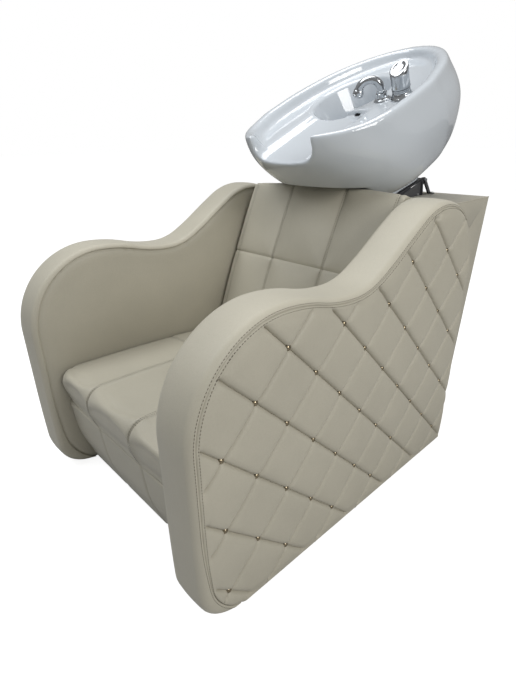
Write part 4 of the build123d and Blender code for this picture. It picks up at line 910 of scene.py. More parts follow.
SEAT_SEAM_X = 104 * MM
SEAT_CROSS_BACK = 403.5 * MM
BACK_SEAM_X = 100 * MM
BACK_BOX_X = 262 * MM
BACK_ROW_Z = 556 * MM
BACK_TOP_FORWARD = 16 * MM
BACK_TOP_UP = 3 * MM
BACK_THICKNESS = 84 * MM
BACK_TOP_Z = 774 * MM
BOARD_TOP_Z = 225 * MM
RECLINE = radians(24.0)
BACK_RISE = (BACK_TOP_Z - BOARD_TOP_Z) / cos(RECLINE)
BACK_ROW_RISE = (BACK_ROW_Z - BOARD_TOP_Z) / cos(RECLINE)
BACK_FOOT_Y = -91 * MM
BACK_CORNER = 16 * MM
SEAT_NOSE_ROUND = 46 * MM
SEAT_NOSE_TUCK = 22 * MM
SEAT_FRONT_Z = 349 * MM
SEAT_REAR_Z = 322 * MM
SEAT_TOP_LIMIT = 358 * MM
SEAT_REAR_GAP = 11 * MM
SEAM_PIN = 1.3 * MM
FLOOR_GAP = 3 * MM
SEAM_SINK = 5.0 * MM
SEAM_GAPS = np.array((1.0, 2.4, 4.4, 7.5, 12.0)) * MM


def stations(half, seams, coarse):
    """Places across a cushion, close together at its sides and seams."""
    marks = {0.0}
    for seam in seams:
        marks.add(seam)
        for gap in SEAM_GAPS:
            marks.update((seam - gap, seam + gap))
    for gap in (0, 0.6, 2.0, 4.5, 8.0, 13.0, 19.0):
        marks.add(half - gap * MM)
    marks = sorted(m for m in marks if m <= half)
    full = []
    for low, high in zip(marks, marks[1:]):
        if high - low < 0.3 * MM:
            continue
        amount = max(1, round((high - low) / coarse))
        full += [low + (high - low) * i / amount for i in range(amount)]
    full.append(half)
    return np.array(sorted([-x for x in full if x > 0] + full))


def seam_sink(distance, depth=SEAM_SINK, width=12 * MM):
    """How far a surface drops at a distance from a sewn seam."""
    return depth * np.clip(1 - np.abs(distance) / width, 0, 1) ** 2.4


def seamed(positions, seams, depth=SEAM_SINK):
    return max(float(seam_sink(positions - s, depth)) for s in seams)


def lofted(name, rings):
    """A closed body through rings of equally many points, with ends made of small faces."""
    rings = np.asarray(rings)
    count, around = rings.shape[:2]
    piece = mesh_piece(name, rings.reshape(-1, 3), grid_faces(count, around, wrap=True))

    def close_ends(work):
        for i in (0, count - 1):
            work.verts.ensure_lookup_table()
            ring = [work.verts[i * around + k] for k in range(around)]
            made = bmesh.ops.contextual_create(work, geom=ring)["faces"]
            bmesh.ops.inset_region(work, faces=made, thickness=5 * MM)
            bmesh.ops.triangulate(work, faces=made)

    return edit_with(piece, close_ends)


def inflate(piece, pinned, pressure, cap, frames=20):
    """Fills a cushion like foam under its cover: cloth under pressure, held at its seams and base."""
    rest = places_of(piece)
    held = piece.vertex_groups.new(name="held")
    held.add([int(i) for i in np.nonzero(pinned)[0]], 1.0, "REPLACE")
    pick(piece)
    cloth = piece.modifiers.new("padding", "CLOTH")
    for key, value in (("quality", 5), ("mass", 0.3), ("tension_stiffness", 25),
                       ("compression_stiffness", 10), ("bending_stiffness", 3.0), ("use_pressure", True),
                       ("uniform_pressure_force", pressure), ("vertex_group_mass", "held")):
        setattr(cloth.settings, key, value)
    cloth.settings.effector_weights.gravity = 0
    cloth.collision_settings.use_collision = False
    cloth.point_cache.frame_start = 1
    cloth.point_cache.frame_end = frames
    for step in range(1, frames + 1):
        bpy.context.scene.frame_set(step)
    bpy.ops.object.modifier_apply(modifier=cloth.name)
    bpy.context.scene.frame_set(1)
    shift = places_of(piece) - rest
    size = np.linalg.norm(shift, axis=1)
    shift *= (np.minimum(size, cap) / np.maximum(size, 1e-9))[:, None]
    move_to(piece, rest + shift)
    piece.vertex_groups.clear()


def finish_soft(piece, angle=75):
    apply_modifier(piece, "SUBSURF", "soften", levels=1, render_levels=1)
    return shade(piece, angle)


def wrinkles(places, size):
    """Slow shallow unevenness of a stuffed surface, in metres."""
    a, b = places[:, 0], places[:, 1]
    waves = (np.sin(a * 23 + 0.4 + 0.8 * np.sin(b * 9)) * np.sin(b * 19 + 1.1)
             + 0.5 * np.sin(a * 47 + b * 29 + 0.3) + 0.3 * np.sin(b * 83 + 2 * np.sin(a * 13)))
    return size * waves


def seat_ring(x):
    """Side view of the seat cushion at a place across it."""
    half = SEAT_HIGH.x
    base = SEAT_LOW.z
    edge = half - abs(x)
    sink = float(rounded(np.array(edge), 22 * MM, 14 * MM)) + 7 * MM * (x / half) ** 2
    sink += seamed(abs(x), (SEAT_SEAM_X,))
    nose = SEAT_LOW.y + sink
    front_z = SEAT_FRONT_Z - sink
    rear_z = SEAT_REAR_Z - sink
    start = np.array((nose + SEAT_NOSE_TUCK, base))
    front = [start] + smooth_run(start, 115.0, (nose, SEAT_FRONT_Z - SEAT_NOSE_ROUND - sink), 90.0, 2 * MM)
    lead = (nose + SEAT_NOSE_ROUND, front_z)
    front += smooth_run(front[-1], 90.0, lead, 3.0, 2 * MM)
    rear_top = (back_face_y(rear_z) - SEAT_REAR_GAP, rear_z)
    share = np.linspace(0, 1, 160)
    top = np.column_stack((lead[0] + share * (rear_top[0] - lead[0]),
                           front_z + share * (rear_z - front_z) + 4 * 7 * MM * share * (1 - share)))
    front = resampled(front, 22)
    top = resampled_at(top, seat_marks())
    top[:, 1] -= seam_sink(top[:, 0] - (ARM_LOW.y + SEAT_CROSS_BACK))
    rear = resampled([top[-1], (back_face_y(base) - SEAT_REAR_GAP, base)], 10)
    under = resampled([rear[-1], start], 30)
    ring = np.vstack((front, top[1:], rear[1:], under[1:-1]))
    return np.column_stack((np.full(len(ring), x), ring))


def resampled_at(points, shares):
    """Points of a run at shares of its length in Y."""
    points = np.asarray(points, float)
    spread = points[0, 0] + np.asarray(shares) * (points[-1, 0] - points[0, 0])
    return np.column_stack((spread, np.interp(spread, points[:, 0], points[:, 1])))


def run_marks(low, seam, high):
    """Shares of a run from low to high, close together at its cross seam."""
    near = np.concatenate((-SEAM_GAPS[::-1], (0.0,), SEAM_GAPS))
    places = between([low] + [seam + gap for gap in near] + [high], 10 * MM)
    return (places - low) / (high - low)


def seat_marks():
    return run_marks(SEAT_LOW.y + SEAT_NOSE_ROUND, ARM_LOW.y + SEAT_CROSS_BACK,
                     back_face_y(SEAT_REAR_Z) - SEAT_REAR_GAP)


def back_face_y(z):
    """Where the back cushion's front plane lies at a height."""
    return BACK_FOOT_Y + (z - BOARD_TOP_Z) * np.tan(RECLINE)


def back_place(rise, out):
    """Side view (y, z): up the back's slope from its foot, and out from its front plane."""
    return np.array((BACK_FOOT_Y + rise * sin(RECLINE) - out * cos(RECLINE),
                     BOARD_TOP_Z + rise * cos(RECLINE) + out * sin(RECLINE)))


def seat_cushion(name):
    xs = stations(SEAT_HIGH.x, (SEAT_SEAM_X,), 12 * MM)
    rings = [seat_ring(x) for x in xs]
    piece = lofted(name, rings)
    places = places_of(piece)
    top = smoothstep(places[:, 2], SEAT_LOW.z + 30 * MM, SEAT_LOW.z + 80 * MM)
    seam_near = np.minimum(np.abs(np.abs(places[:, 0]) - SEAT_SEAM_X),
                           np.abs(places[:, 1] - (ARM_LOW.y + SEAT_CROSS_BACK)))
    at_seam = seam_near < SEAM_PIN
    low = places[:, 2] < SEAT_LOW.z + 3 * MM
    rear = places[:, 1] > back_face_y(places[:, 2]) - 14 * MM
    sides = np.abs(places[:, 0]) > SEAT_HIGH.x - 1 * MM
    inflate(piece, at_seam | low | rear | sides, 3.2, 7 * MM)
    places = places_of(piece)
    places[:, 2] += wrinkles(places[:, :2], 0.45 * MM) * top
    places[:, 2] = np.minimum(places[:, 2], SEAT_TOP_LIMIT)
    move_to(piece, places)
    return finish_soft(piece)


def back_ring(x):
    """Side view of the back cushion at a place across it."""
    half = BACK_HIGH.x
    edge = half - abs(x)
    sink = float(rounded(np.array(edge), 16 * MM, 11 * MM)) + 9 * MM * (x / half) ** 2
    sink += seamed(abs(x), (BACK_SEAM_X,)) + seamed(abs(x), (BACK_BOX_X,), 2.0 * MM)
    rise = BACK_RISE - sink * 0.7
    base = 0.3 * MM
    low = (base + sink * sin(RECLINE)) / cos(RECLINE)
    corner = BACK_CORNER
    share = np.linspace(0, 1, 240)
    ups = low + share * (rise - corner - low)
    outs = 4 * 10 * MM * share * (1 - share) - sink
    front = np.column_stack((ups, outs))
    marks = back_marks(BACK_ROW_RISE)
    spread = front[0, 0] + marks * (front[-1, 0] - front[0, 0])
    front = np.column_stack((spread, np.interp(spread, front[:, 0], front[:, 1])))
    front[:, 1] -= seam_sink(front[:, 0] - BACK_ROW_RISE)
    turn = np.linspace(0, pi / 2, 9)[1:]
    top = np.column_stack((rise - corner + corner * np.sin(turn), -corner + corner * np.cos(turn) - sink))
    over = np.linspace(0, 1, 9)[1:]
    top_flat = np.column_stack((rise + 2.5 * MM * np.sin(pi * over),
                                top[-1, 1] + over * (-BACK_THICKNESS + 6 * MM - top[-1, 1])))
    rear_low = (base + BACK_THICKNESS * sin(RECLINE)) / cos(RECLINE)
    rear = resampled([(rise - 6 * MM, -BACK_THICKNESS), (rear_low, -BACK_THICKNESS)], 26)
    under = resampled([rear[-1], front[0]], 9)
    local = np.vstack((front, top, top_flat, rear, under[1:-1]))
    height = local[:, 0] / BACK_RISE
    local[:, 1] += BACK_TOP_FORWARD * height * np.clip((local[:, 1] + BACK_THICKNESS) / (64 * MM), 0, 1)
    local[:, 0] += BACK_TOP_UP * height
    side = np.array([back_place(u, n) for u, n in local])
    return np.column_stack((np.full(len(side), x), side))


def back_marks(seam_rise):
    return run_marks(0.0, seam_rise, BACK_RISE - BACK_CORNER)


def back_local(places):
    """Rise up the slope and distance out from the back's front plane, for points in the frame."""
    y = places[:, 1] - BACK_FOOT_Y
    z = places[:, 2] - BOARD_TOP_Z
    return y * sin(RECLINE) + z * cos(RECLINE), -y * cos(RECLINE) + z * sin(RECLINE)


def back_cushion(name):
    side = BACK_HIGH.x - BACK_SIDE_GAP
    xs = stations(side, (BACK_SEAM_X, BACK_BOX_X), 12 * MM)
    piece = lofted(name, [back_ring(x) for x in xs])
    places = places_of(piece)
    rise, out = back_local(places)
    seam_near = np.minimum(np.minimum(np.abs(np.abs(places[:, 0]) - BACK_SEAM_X),
                                      np.abs(np.abs(places[:, 0]) - BACK_BOX_X)),
                           np.abs(rise - BACK_ROW_RISE))
    held = (seam_near < SEAM_PIN) & (out > -40 * MM)
    held |= out < -BACK_THICKNESS + 10 * MM
    held |= places[:, 2] < BOARD_TOP_Z + 110 * MM
    held |= np.abs(places[:, 0]) > side - 1 * MM
    inflate(piece, held, 3.2, 7 * MM)
    places = places_of(piece)
    rise, out = back_local(places)
    front = smoothstep(out, -60 * MM, -20 * MM)
    ripple = wrinkles(np.column_stack((places[:, 0], rise)), 0.5 * MM) * front
    places[:, 1] -= ripple * cos(RECLINE)
    places[:, 2] += ripple * sin(RECLINE)
    move_to(piece, places)
    return finish_soft(piece)


def apron_ring(x):
    """Side view of the front apron at a place across it: a bent pad, sewn along the seat's seams."""
    half = APRON_HIGH.x
    edge = half - abs(x)
    sink = float(rounded(np.array(edge), 8 * MM, 4 * MM)) + seamed(abs(x), (SEAT_SEAM_X,), 3.5 * MM)
    nodes = ((APRON_LOW.y, BOARD_TOP_Z), (APRON_LOW.y + 12 * MM, 120 * MM), (APRON_LOW.y + 51.5 * MM, 3 * MM))
    fine = resampled(nodes, 200)
    width = 25
    padded_ends = np.vstack((np.repeat(fine[:1], width, 0), fine, np.repeat(fine[-1:], width, 0)))
    kernel = np.ones(2 * width + 1) / (2 * width + 1)
    smooth = np.stack([np.convolve(padded_ends[:, i], kernel, "valid") for i in (0, 1)], axis=1)
    ends = np.minimum(np.arange(200), np.arange(200)[::-1]) / 26.0
    blend = np.clip(ends, 0, 1)[:, None]
    face = fine * (1 - blend) + smooth * blend
    face = resampled(face, 26)
    way = np.gradient(face, axis=0)
    way /= np.linalg.norm(way, axis=1)[:, None]
    normal = np.column_stack((way[:, 1], -way[:, 0]))
    share = np.linspace(0, 1, 26)
    puff = 1.5 * MM * np.sin(pi * share) - sink
    outer = face + normal * puff[:, None]
    inner = face - normal * 17.5 * MM
    inner[:, 1] = np.clip(inner[:, 1], FLOOR_GAP, BOARD_TOP_Z)
    outer[:, 1] = np.clip(outer[:, 1], FLOOR_GAP, BOARD_TOP_Z)
    ring = np.vstack((outer, inner[::-1]))
    return np.column_stack((np.full(len(ring), x), ring))


def apron(name):
    xs = stations(APRON_HIGH.x, (SEAT_SEAM_X,), 14 * MM)
    piece = lofted(name, [apron_ring(x) for x in xs])
    return finish_soft(piece, 50)


def seat_thread(name):
    """Stitches beside the seat's and the back's seams."""
    runs = []
    beside = 3.2 * MM
    seat_xs = np.linspace(-SEAT_HIGH.x + 16 * MM, SEAT_HIGH.x - 16 * MM, 120)
    for sign in (-1, 1):
        for off in (-beside, beside):
            ring = seat_ring(sign * SEAT_SEAM_X + off)[:22 + len(seat_marks()) - 1]
            normals = ring_normals(ring)
            runs.append((ring[2:-2] + normals[2:-2] * 0.3 * MM, normals[2:-2]))
    for off in (-beside, beside):
        points = []
        for x in seat_xs:
            ring = seat_ring(x)[21:21 + len(seat_marks())]
            y = ARM_LOW.y + SEAT_CROSS_BACK + off
            points.append((x, y, np.interp(y, ring[:, 1], ring[:, 2])))
        normals = np.tile((0.0, 0.06, 1.0), (len(points), 1))
        runs.append((np.array(points) + np.array((0, 0, 0.3 * MM)), normals))
    count = len(back_marks(0.3))
    for place in (BACK_SEAM_X, BACK_BOX_X):
        for sign in (-1, 1):
            for off in (-beside, beside):
                ring = back_ring(sign * place + off)[:count + 5]
                normals = ring_normals(ring)
                runs.append((ring[12:-1] + normals[12:-1] * 0.3 * MM, normals[12:-1]))
    return thread_piece(name, runs, 3.6 * MM, 2.6 * MM, 0.5 * MM)


def ring_normals(ring):
    """Outward normals along a run in the side view, whose points go up the front and over the top."""
    way = np.gradient(ring[:, 1:], axis=0)
    way /= np.maximum(np.linalg.norm(way, axis=1), 1e-9)[:, None]
    return np.column_stack((np.zeros(len(ring)), -way[:, 1], way[:, 0]))


def build_cushions():
    leather = MATERIALS["leatherette"]
    finished(seat_cushion("seat_pad"), CHAIR, leather, ["seat_cushion"])
    finished(back_cushion("back_pad"), CHAIR, leather, ["back_cushion"])
    finished(apron("apron_pad"), CHAIR, leather, ["front_apron"])
    finished(seat_thread("cushion_seam_thread"), CHAIR, MATERIALS["thread"])


# Cabinet covers

def tube(name, line, radius, ring=10):
    """A closed round tube along a line of points."""
    line = np.asarray(line, float)
    way = np.gradient(line, axis=0)
    way /= np.linalg.norm(way, axis=1)[:, None]
    side = np.cross(way[0], (0.3, 0.5, 0.81))
    points = []
    radii = np.broadcast_to(radius, len(line))
    for p, w, r in zip(line, way, radii):
        side = side - (side @ w) * w
        side /= np.linalg.norm(side)
        up = np.cross(w, side)
        for k in range(ring):
            turn = 2 * pi * k / ring
            points.append(p + r * (side * cos(turn) + up * sin(turn)))
    return mesh_piece(name, points, capped_faces(len(line), ring))


def cabinet_edge(side, lift):
    """The line where the cabinet's top and one side meet."""
    inset = 1.2 * MM
    low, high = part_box(f"{side}_side_cover")
    x = high.x - inset if side == "left" else low.x + inset
    z = TOP_HIGH.z + lift
    return resampled([(x, TOP_LOW.y + 1 * MM, z), (x, TOP_HIGH.y - 1 * MM, z)], 60)


def build_cabinet():
    leather = MATERIALS["leatherette"]
    for node in ("left_side_cover", "right_side_cover", "cabinet_top_cover", "rear_panel_cover"):
        piece = node_copy(node, f"{node}_skin")
        apply_modifier(piece, "BEVEL", "soft_edge", width=1.1 * MM, segments=3, limit_method="ANGLE",
                       angle_limit=radians(40))
        finished(shade(piece, 50), CHAIR, leather, [node])
    for side in SIDES:
        piping = tube(f"{side}_cabinet_piping", cabinet_edge(side, -1.0 * MM), 2.2 * MM)
        finished(shade(piping, 60), CHAIR, leather)


# Basin and its fittings

RIM_ORIGIN = np.array((0, 212.5, 1006.0)) * MM
RIM_TILT = radians(24.4)
RIM_U = np.array((0, cos(RIM_TILT), sin(RIM_TILT)))
RIM_N = np.array((0, -sin(RIM_TILT), cos(RIM_TILT)))
DECK_N = -34 * MM
MIXER = (155 * MM, 65 * MM)
SPRAY = (98 * MM, 58 * MM)


def rim_place(x, u, n):
    return RIM_ORIGIN + u * RIM_U + n * RIM_N + np.array((x, 0, 0))


def lathe(name, profile, place, ring=48, shape=None):
    """A turned piece: a profile of (radius, height) in mm round an axis square to the rim plane.

    shape(u, n) may change a point's height, for a slanted end."""
    def at(radius, turn, height):
        u = radius * sin(turn) * MM
        n = height * MM if shape is None else shape(u, height * MM)
        return rim_place(place[0] + radius * cos(turn) * MM, place[1] + u, n)

    return mesh_piece(name, *turned(profile, ring, at))


def soften_rim(piece):
    """Melts the rim, the recess wall and the neck's lip into one another, as a thick glaze does."""
    places = places_of(piece) - RIM_ORIGIN
    x, u, n = places[:, 0], places @ RIM_U, places @ RIM_N
    weight = smoothstep(n, -46 * MM, -30 * MM)
    weight = np.maximum(weight, smoothstep(-u, 120 * MM, 170 * MM) * smoothstep(n, -110 * MM, -80 * MM))
    for place, radius in ((MIXER, 31 * MM), (SPRAY, 24 * MM)):
        weight *= smoothstep(np.hypot(x - place[0], u - place[1]), radius + 2 * MM, radius + 14 * MM)
    rim = piece.vertex_groups.new(name="rim")
    for share in np.arange(1, 11) / 10:
        level = np.nonzero((weight > share - 0.1) & (weight <= share))[0]
        rim.add([int(i) for i in level], float(share), "REPLACE")
    apply_modifier(piece, "SMOOTH", "melted_rim", factor=0.7, iterations=46, vertex_group="rim")
    piece.vertex_groups.clear()


BASIN_NODES = ("basin", "basin_deck", "basin_bowl")


def build_basin():
    """The casting as one body, with its sharp edges drawn round like a glazed one's."""
    piece = node_copy("basin", "glazed_basin")
    for node in BASIN_NODES[1:]:
        joined(piece, node_copy(node, node + "_copy"))
    apply_modifier(piece, "REMESH", "even_mesh", mode="VOXEL", voxel_size=3.4 * MM, adaptivity=0.0)
    apply_modifier(piece, "SMOOTH", "rounded_edges", factor=0.5, iterations=9)
    soften_rim(piece)
    all_smooth(piece)
    finished(piece, UNIT, MATERIALS["white_ceramic"], BASIN_NODES)


MIXER_LOW_N = DECK_N / MM + 14 + 9 + 1.0
MIXER_TOP_N = MIXER_LOW_N + 62


def slanted_top(u, n):
    """Stretches the lever's body so that its round top follows the slanted end."""
    low = MIXER_LOW_N * MM
    high = MIXER_TOP_N * MM
    top = high - (25 * MM - u) * np.tan(radians(26.0))
    return low + (n - low) * (top - low) / (high - low)


def build_mixer():
    chrome = MATERIALS["chrome_fittings"]
    deck = DECK_N / MM
    base = lathe("mixer_flared_base", (
        (5.5, deck - 29), (12.4, deck - 29), (12.9, deck - 28), (12.9, deck + 0.5), (31, deck + 0.05),
        (31.0, deck + 1.6), (30.5, deck + 3.0), (29.3, deck + 4.6), (27.6, deck + 6.6), (26.2, deck + 9.0),
        (25.3, deck + 11.6), (24.9, deck + 13.2), (24.3, deck + 13.9), (12, deck + 14), (12, deck + 37),
        (11, deck + 38), (5.5, deck + 38)), MIXER)
    finished(shade(base, 35), UNIT, chrome, ["mixer_base"])
    low = deck + 14.05
    collar = lathe("mixer_turning_collar", (
        (12.1, low), (23.2, low), (23.9, low + 0.6), (23.9, low + 3.6), (23.2, low + 4.1), (23.2, low + 4.9),
        (23.9, low + 5.4), (23.9, low + 8.3), (23.2, low + 8.9), (12.1, low + 8.9)), MIXER)
    finished(shade(collar, 35), "mixer_swivel", chrome, ["mixer_collar"])
    low = MIXER_LOW_N
    top = MIXER_TOP_N
    wall = []
    for share in np.linspace(0, 1, 14):
        waist = 1.3 * sin(pi * min(1, share * 1.15))
        wall.append((24.9 - waist, low + 1.2 + share * (top - low - 4.2)))
    foot = [(16.2, low + 2), (16.2, low), (24.1, low), (24.7, low + 0.5)]
    cap = [(24.2, top - 1.6), (23.2, top - 0.6), (21.9, top - 0.1), (18.2, top), (17.2, top - 0.4),
           (16.2, top - 1.6), (15.0, top - 2.8), (11.0, top - 3.7), (5.0, top - 4.0), (0, top - 4.1)]
    lever = lathe("mixer_lever_body", foot + wall + cap, MIXER, shape=slanted_top)
    edited(lever, (bpy.ops.mesh.fill_holes, {"sides": 0}))
    finished(shade(lever, 35), "mixer_lever", chrome, ["mixer_handle"])


def shower_neck(rest):
    """The hand shower's side view as (distance out, height), with its radius at each point, in mm."""
    bend = 27.0
    rise = rest + 11
    head_turn = radians(64)
    path = [(0.0, rest + up) for up in (0.2, 0.9, 3.0, 5.4, 6.2, 11)]
    sizes = [11.6, 12.4, 12.4, 12.2, 11.0, 10.8]
    for share in np.linspace(0, 1, 14)[1:]:
        a = share * pi / 2
        path.append((bend - bend * cos(a), rise + bend * sin(a)))
        sizes.append(10.8 - 1.0 * share)
    for share in np.linspace(0, 1, 12)[1:]:
        a = share * head_turn
        path.append((bend + 5 + bend * sin(a), rise + bend * cos(a)))
        sizes.append(9.8 + 2.2 * share)
    start = path[-1]
    for far, size in ((1.5, 12.6), (3.0, 13.4), (4.0, 14.2), (9.0, 15.0), (13.0, 15.2), (13.6, 14.7),
                      (14.2, 15.2), (18.0, 15.3), (19.2, 14.8), (19.6, 13.6), (19.0, 12.8), (18.6, 0.5)):
        path.append((start[0] + far * cos(head_turn), start[1] - far * sin(head_turn)))
        sizes.append(size)
    return path, sizes


def build_spray():
    chrome = MATERIALS["chrome_fittings"]
    deck = DECK_N / MM
    holder = lathe("shower_holder_ring", (
        (9.7, deck - 29), (12.4, deck - 29), (12.9, deck - 28), (12.9, deck + 0.5), (24, deck + 0.05),
        (24, deck + 1.2), (23.4, deck + 2.0), (21.6, deck + 2.4), (21.2, deck + 3.2), (20.4, deck + 4.2),
        (18.4, deck + 4.9), (16.0, deck + 5.4), (15.2, deck + 6.4), (14.8, deck + 9.0), (14.9, deck + 15.0),
        (15.0, deck + 18.2), (14.3, deck + 19.0), (9.7, deck + 19.0)), SPRAY, 40)
    finished(shade(holder, 35), UNIT, chrome, ["spray_holder"])
    rest = deck + 19.1
    turn = heading(207.0)
    path, sizes = shower_neck(rest)
    line = np.array([rim_place(SPRAY[0] + turn[0] * d * MM, SPRAY[1] + turn[1] * d * MM, n * MM)
                     for d, n in path])
    neck = tube("hand_shower_body", line, np.array(sizes) * MM, 32)
    rod = ((0, rest - 52), (8.9, rest - 52), (9.4, rest - 51.4), (9.4, rest + 1), (0, rest + 1))
    stem = lathe("shower_stem", rod, SPRAY, 28)
    joined(neck, stem)
    finished(shade(neck, 35), "shower_head", chrome, ["hand_shower"])
    centre = line[-1]
    way = np.array(line[-6] - line[-9])
    way /= np.linalg.norm(way)
    layers = [centre + way * out * MM for out in (-1, 0, 1.2, 1.6)]
    face = tube("shower_spray_face", layers, np.array((12.6, 12.6, 12.2, 11.4)) * MM, 28)
    finished(shade(face, 35), "shower_head", MATERIALS["black_plastic"], ["spray_face"])


def build_fittings():
    """The CAD nodes that show as they are, each in its own finish."""
    for part in frame["record"]["subparts"]:
        node = frame["nodes"][part["node"]]
        node.data.materials.clear()
        node.data.materials.append(MATERIALS[part["material_slot"]])


# Stage

WHITE = (1.0, 1.0, 1.0, 1.0)
FLOOR_COLOUR = (0.42, 0.42, 0.42, 1.0)
FLOOR_GLOW = 0.86
LIGHTS_AIM = Vector((0, 0, 0.55))
CAMERA_PLACE = (0.911054, -0.960387, 0.911413)
CAMERA_RIGHT = (0.68476, 0.72863, -0.01399)
CAMERA_UP = (-0.29398, 0.29375, 0.90955)
CAMERA_BACK = (0.66684, -0.61872, 0.41535)
CAMERA_SETTINGS = {"lens": 24.0, "sensor_width": 36.0, "shift_x": 0.00016, "shift_y": 0.0024, "clip_end": 60}


def lay_floor():
    bpy.ops.mesh.primitive_plane_add(size=60, location=(0, 0, 0))
    floor = bpy.context.object
    floor.name = "studio_floor"
    material, tree, shader = blank_material("studio_white")
    rays = add(tree, "LightPath").outputs
    glow = maths(tree, "MULTIPLY", rays["Is Camera Ray"], FLOOR_GLOW)
    feed(tree, shader, Base_Color=FLOOR_COLOUR, Roughness=0.75, Emission_Color=WHITE, Emission_Strength=glow)
    floor.data.materials.append(material)


def set_lights(scene, looks):
    for label, place, size, power, tint in (
        ("key_light", (3.1, -0.3, 2.0), 1.6, looks.key_power, (1.0, 0.985, 0.96)),
        ("fill_light", (-0.9, -1.9, 3.2), 1.6, looks.fill_power, (0.95, 0.975, 1.0)),
        ("top_light", (-0.5, 0.2, 3.3), 1.8, looks.top_power, (1.0, 1.0, 1.0)),
    ):
        lamp = bpy.data.lights.new(label, "AREA")
        lamp.shape = "SQUARE"
        lamp.size = size
        lamp.energy = power
        lamp.color = tint
        holder = bpy.data.objects.new(label, lamp)
        scene.collection.objects.link(holder)
        holder.location = place
        aim = LIGHTS_AIM - Vector(place)
        holder.rotation_euler = aim.to_track_quat("-Z", "Y").to_euler()


def set_surroundings(scene, looks):
    """White surroundings that light the piece less than they show behind it."""
    world = bpy.data.worlds.new("studio")
    scene.world = world
    world.use_nodes = True
    tree = world.node_tree
    tree.nodes.clear()
    plain = add(tree, "Background", Color=WHITE, Strength=looks.world_strength)
    seen = add(tree, "Background", Color=WHITE, Strength=1.0)
    rays = add(tree, "LightPath").outputs
    either = maths(tree, "MAXIMUM", rays["Is Camera Ray"], rays["Is Transmission Ray"])
    blend = add(tree, "MixShader")
    for place, source in enumerate((either, plain.outputs[0], seen.outputs[0])):
        tree.links.new(source, blend.inputs[place])
    tree.links.new(blend.outputs[0], add(tree, "OutputWorld").inputs[0])


def set_camera(scene):
    camera = bpy.data.cameras.new("photo_camera")
    for key, value in CAMERA_SETTINGS.items():
        setattr(camera, key, value)
    eye = bpy.data.objects.new("photo_camera", camera)
    scene.collection.objects.link(eye)
    turn = Matrix((CAMERA_RIGHT, CAMERA_UP, CAMERA_BACK)).transposed().to_4x4()
    eye.matrix_world = Matrix.Translation(CAMERA_PLACE) @ turn
    scene.camera = eye


def build_stage():
    scene = bpy.context.scene
    looks = scene.washing_bed_looks
    lay_floor()
    set_lights(scene, looks)
    set_surroundings(scene, looks)
    scene.view_settings.view_transform = "Standard"
    scene.view_settings.look = "None"
    set_camera(scene)


# Add-on

class WashingBedLooks(bpy.types.PropertyGroup):
    leather_colour: FloatVectorProperty(
        name="Leatherette", description="Colour of the upholstery", subtype="COLOR", size=3, min=0, max=1,
        default=(0.452, 0.428, 0.350))
    thread_colour: FloatVectorProperty(
        name="Thread", description="Colour of the stitches", subtype="COLOR", size=3, min=0, max=1,
        default=(0.10, 0.085, 0.06))
    # The studs' colour is partly their own dull brass and partly a painted reflection: it is set dark to
    # stand in for the dark surroundings that their lower sides reflect.
    stud_colour: FloatVectorProperty(
        name="Studs", description="Colour of the brass studs", subtype="COLOR", size=3, min=0, max=1,
        default=(0.30, 0.25, 0.17))
    ceramic_colour: FloatVectorProperty(
        name="Ceramic", description="Colour of the basin's glaze", subtype="COLOR", size=3, min=0, max=1,
        default=(0.54, 0.58, 0.62))
    key_power: FloatProperty(
        name="Key light", description="Power of the key light in watts", default=60.0, min=0)
    fill_power: FloatProperty(
        name="Fill light", description="Power of the fill light in watts", default=42.0, min=0)
    top_power: FloatProperty(
        name="Top light", description="Power of the top light in watts", default=44.0, min=0)
    world_strength: FloatProperty(
        name="Surroundings", description="Strength of the white surroundings", default=0.34, min=0)


def run(self, builder):
    builder()
    self.report({"INFO"}, self.bl_label)
    return {"FINISHED"}


class SALON_OT_materials(bpy.types.Operator):
    """Make the finishes that every piece uses"""
    bl_idname = "salon.materials"
    bl_label = "Make the finishes"

    def execute(self, context):
        MATERIALS.clear()
        MATERIALS.update(make_materials())
        return {"FINISHED"}


class SALON_OT_arms(bpy.types.Operator):
    """Build both arms: bands, quilted and inner panels, studs and stitches"""
    bl_idname = "salon.arms"
    bl_label = "Build the arms"

    def execute(self, context):
        return run(self, build_arms)


class SALON_OT_cushions(bpy.types.Operator):
    """Build the seat, the back, the apron and their stitches"""
    bl_idname = "salon.cushions"
    bl_label = "Build the cushions"

    def execute(self, context):
        return run(self, build_cushions)


class SALON_OT_cabinet(bpy.types.Operator):
    """Cover the cabinet and pipe its edges"""
    bl_idname = "salon.cabinet"
    bl_label = "Cover the cabinet"

    def execute(self, context):
        return run(self, build_cabinet)


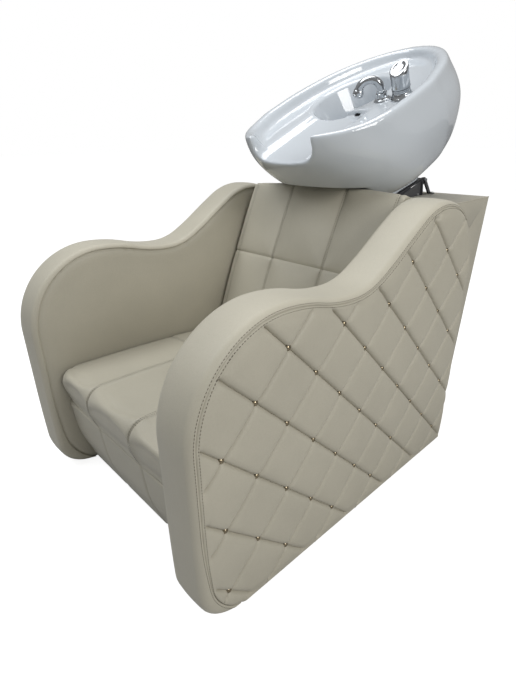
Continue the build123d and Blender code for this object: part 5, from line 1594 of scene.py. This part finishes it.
class SALON_OT_basin(bpy.types.Operator):
    """Glaze the basin and round its edges"""
    bl_idname = "salon.basin"
    bl_label = "Build the basin"

    def execute(self, context):
        return run(self, build_basin)


class SALON_OT_mixer(bpy.types.Operator):
    """Build the single lever mixer in its three moving parts"""
    bl_idname = "salon.mixer"
    bl_label = "Build the mixer"

    def execute(self, context):
        return run(self, build_mixer)


class SALON_OT_spray(bpy.types.Operator):
    """Build the hand shower and its holder"""
    bl_idname = "salon.spray"
    bl_label = "Build the hand shower"

    def execute(self, context):
        return run(self, build_spray)


class SALON_OT_fittings(bpy.types.Operator):
    """Finish the boards, rails, tubes and screws that show as they are"""
    bl_idname = "salon.fittings"
    bl_label = "Finish the fittings"

    def execute(self, context):
        return run(self, build_fittings)


class SALON_OT_stage(bpy.types.Operator):
    """Lay the floor and set the lights and the camera"""
    bl_idname = "salon.stage"
    bl_label = "Set the stage"

    def execute(self, context):
        return run(self, build_stage)


STEPS = (SALON_OT_materials, SALON_OT_arms, SALON_OT_cushions, SALON_OT_cabinet, SALON_OT_basin,
         SALON_OT_mixer, SALON_OT_spray, SALON_OT_fittings, SALON_OT_stage)


class SALON_PT_washing_bed(bpy.types.Panel):
    bl_label = "Hair washing bed"
    bl_space_type = "VIEW_3D"
    bl_region_type = "UI"
    bl_category = "Salon"

    def draw(self, context):
        for step in STEPS:
            self.layout.operator(step.bl_idname)
        looks = context.scene.washing_bed_looks
        for name in WashingBedLooks.__annotations__:
            self.layout.prop(looks, name)


def register():
    bpy.utils.register_class(WashingBedLooks)
    bpy.types.Scene.washing_bed_looks = PointerProperty(type=WashingBedLooks)
    for step in STEPS + (SALON_PT_washing_bed,):
        bpy.utils.register_class(step)


def unregister():
    for step in reversed(STEPS + (SALON_PT_washing_bed,)):
        bpy.utils.unregister_class(step)
    del bpy.types.Scene.washing_bed_looks
    bpy.utils.unregister_class(WashingBedLooks)


def main():
    register()
    for step in ("materials", "arms", "cushions", "cabinet", "basin", "mixer", "spray", "fittings", "stage"):
        if getattr(bpy.ops.salon, step)() != {"FINISHED"}:
            raise RuntimeError(f"the step {step} did not finish")


if __name__ == "__main__":
    main()
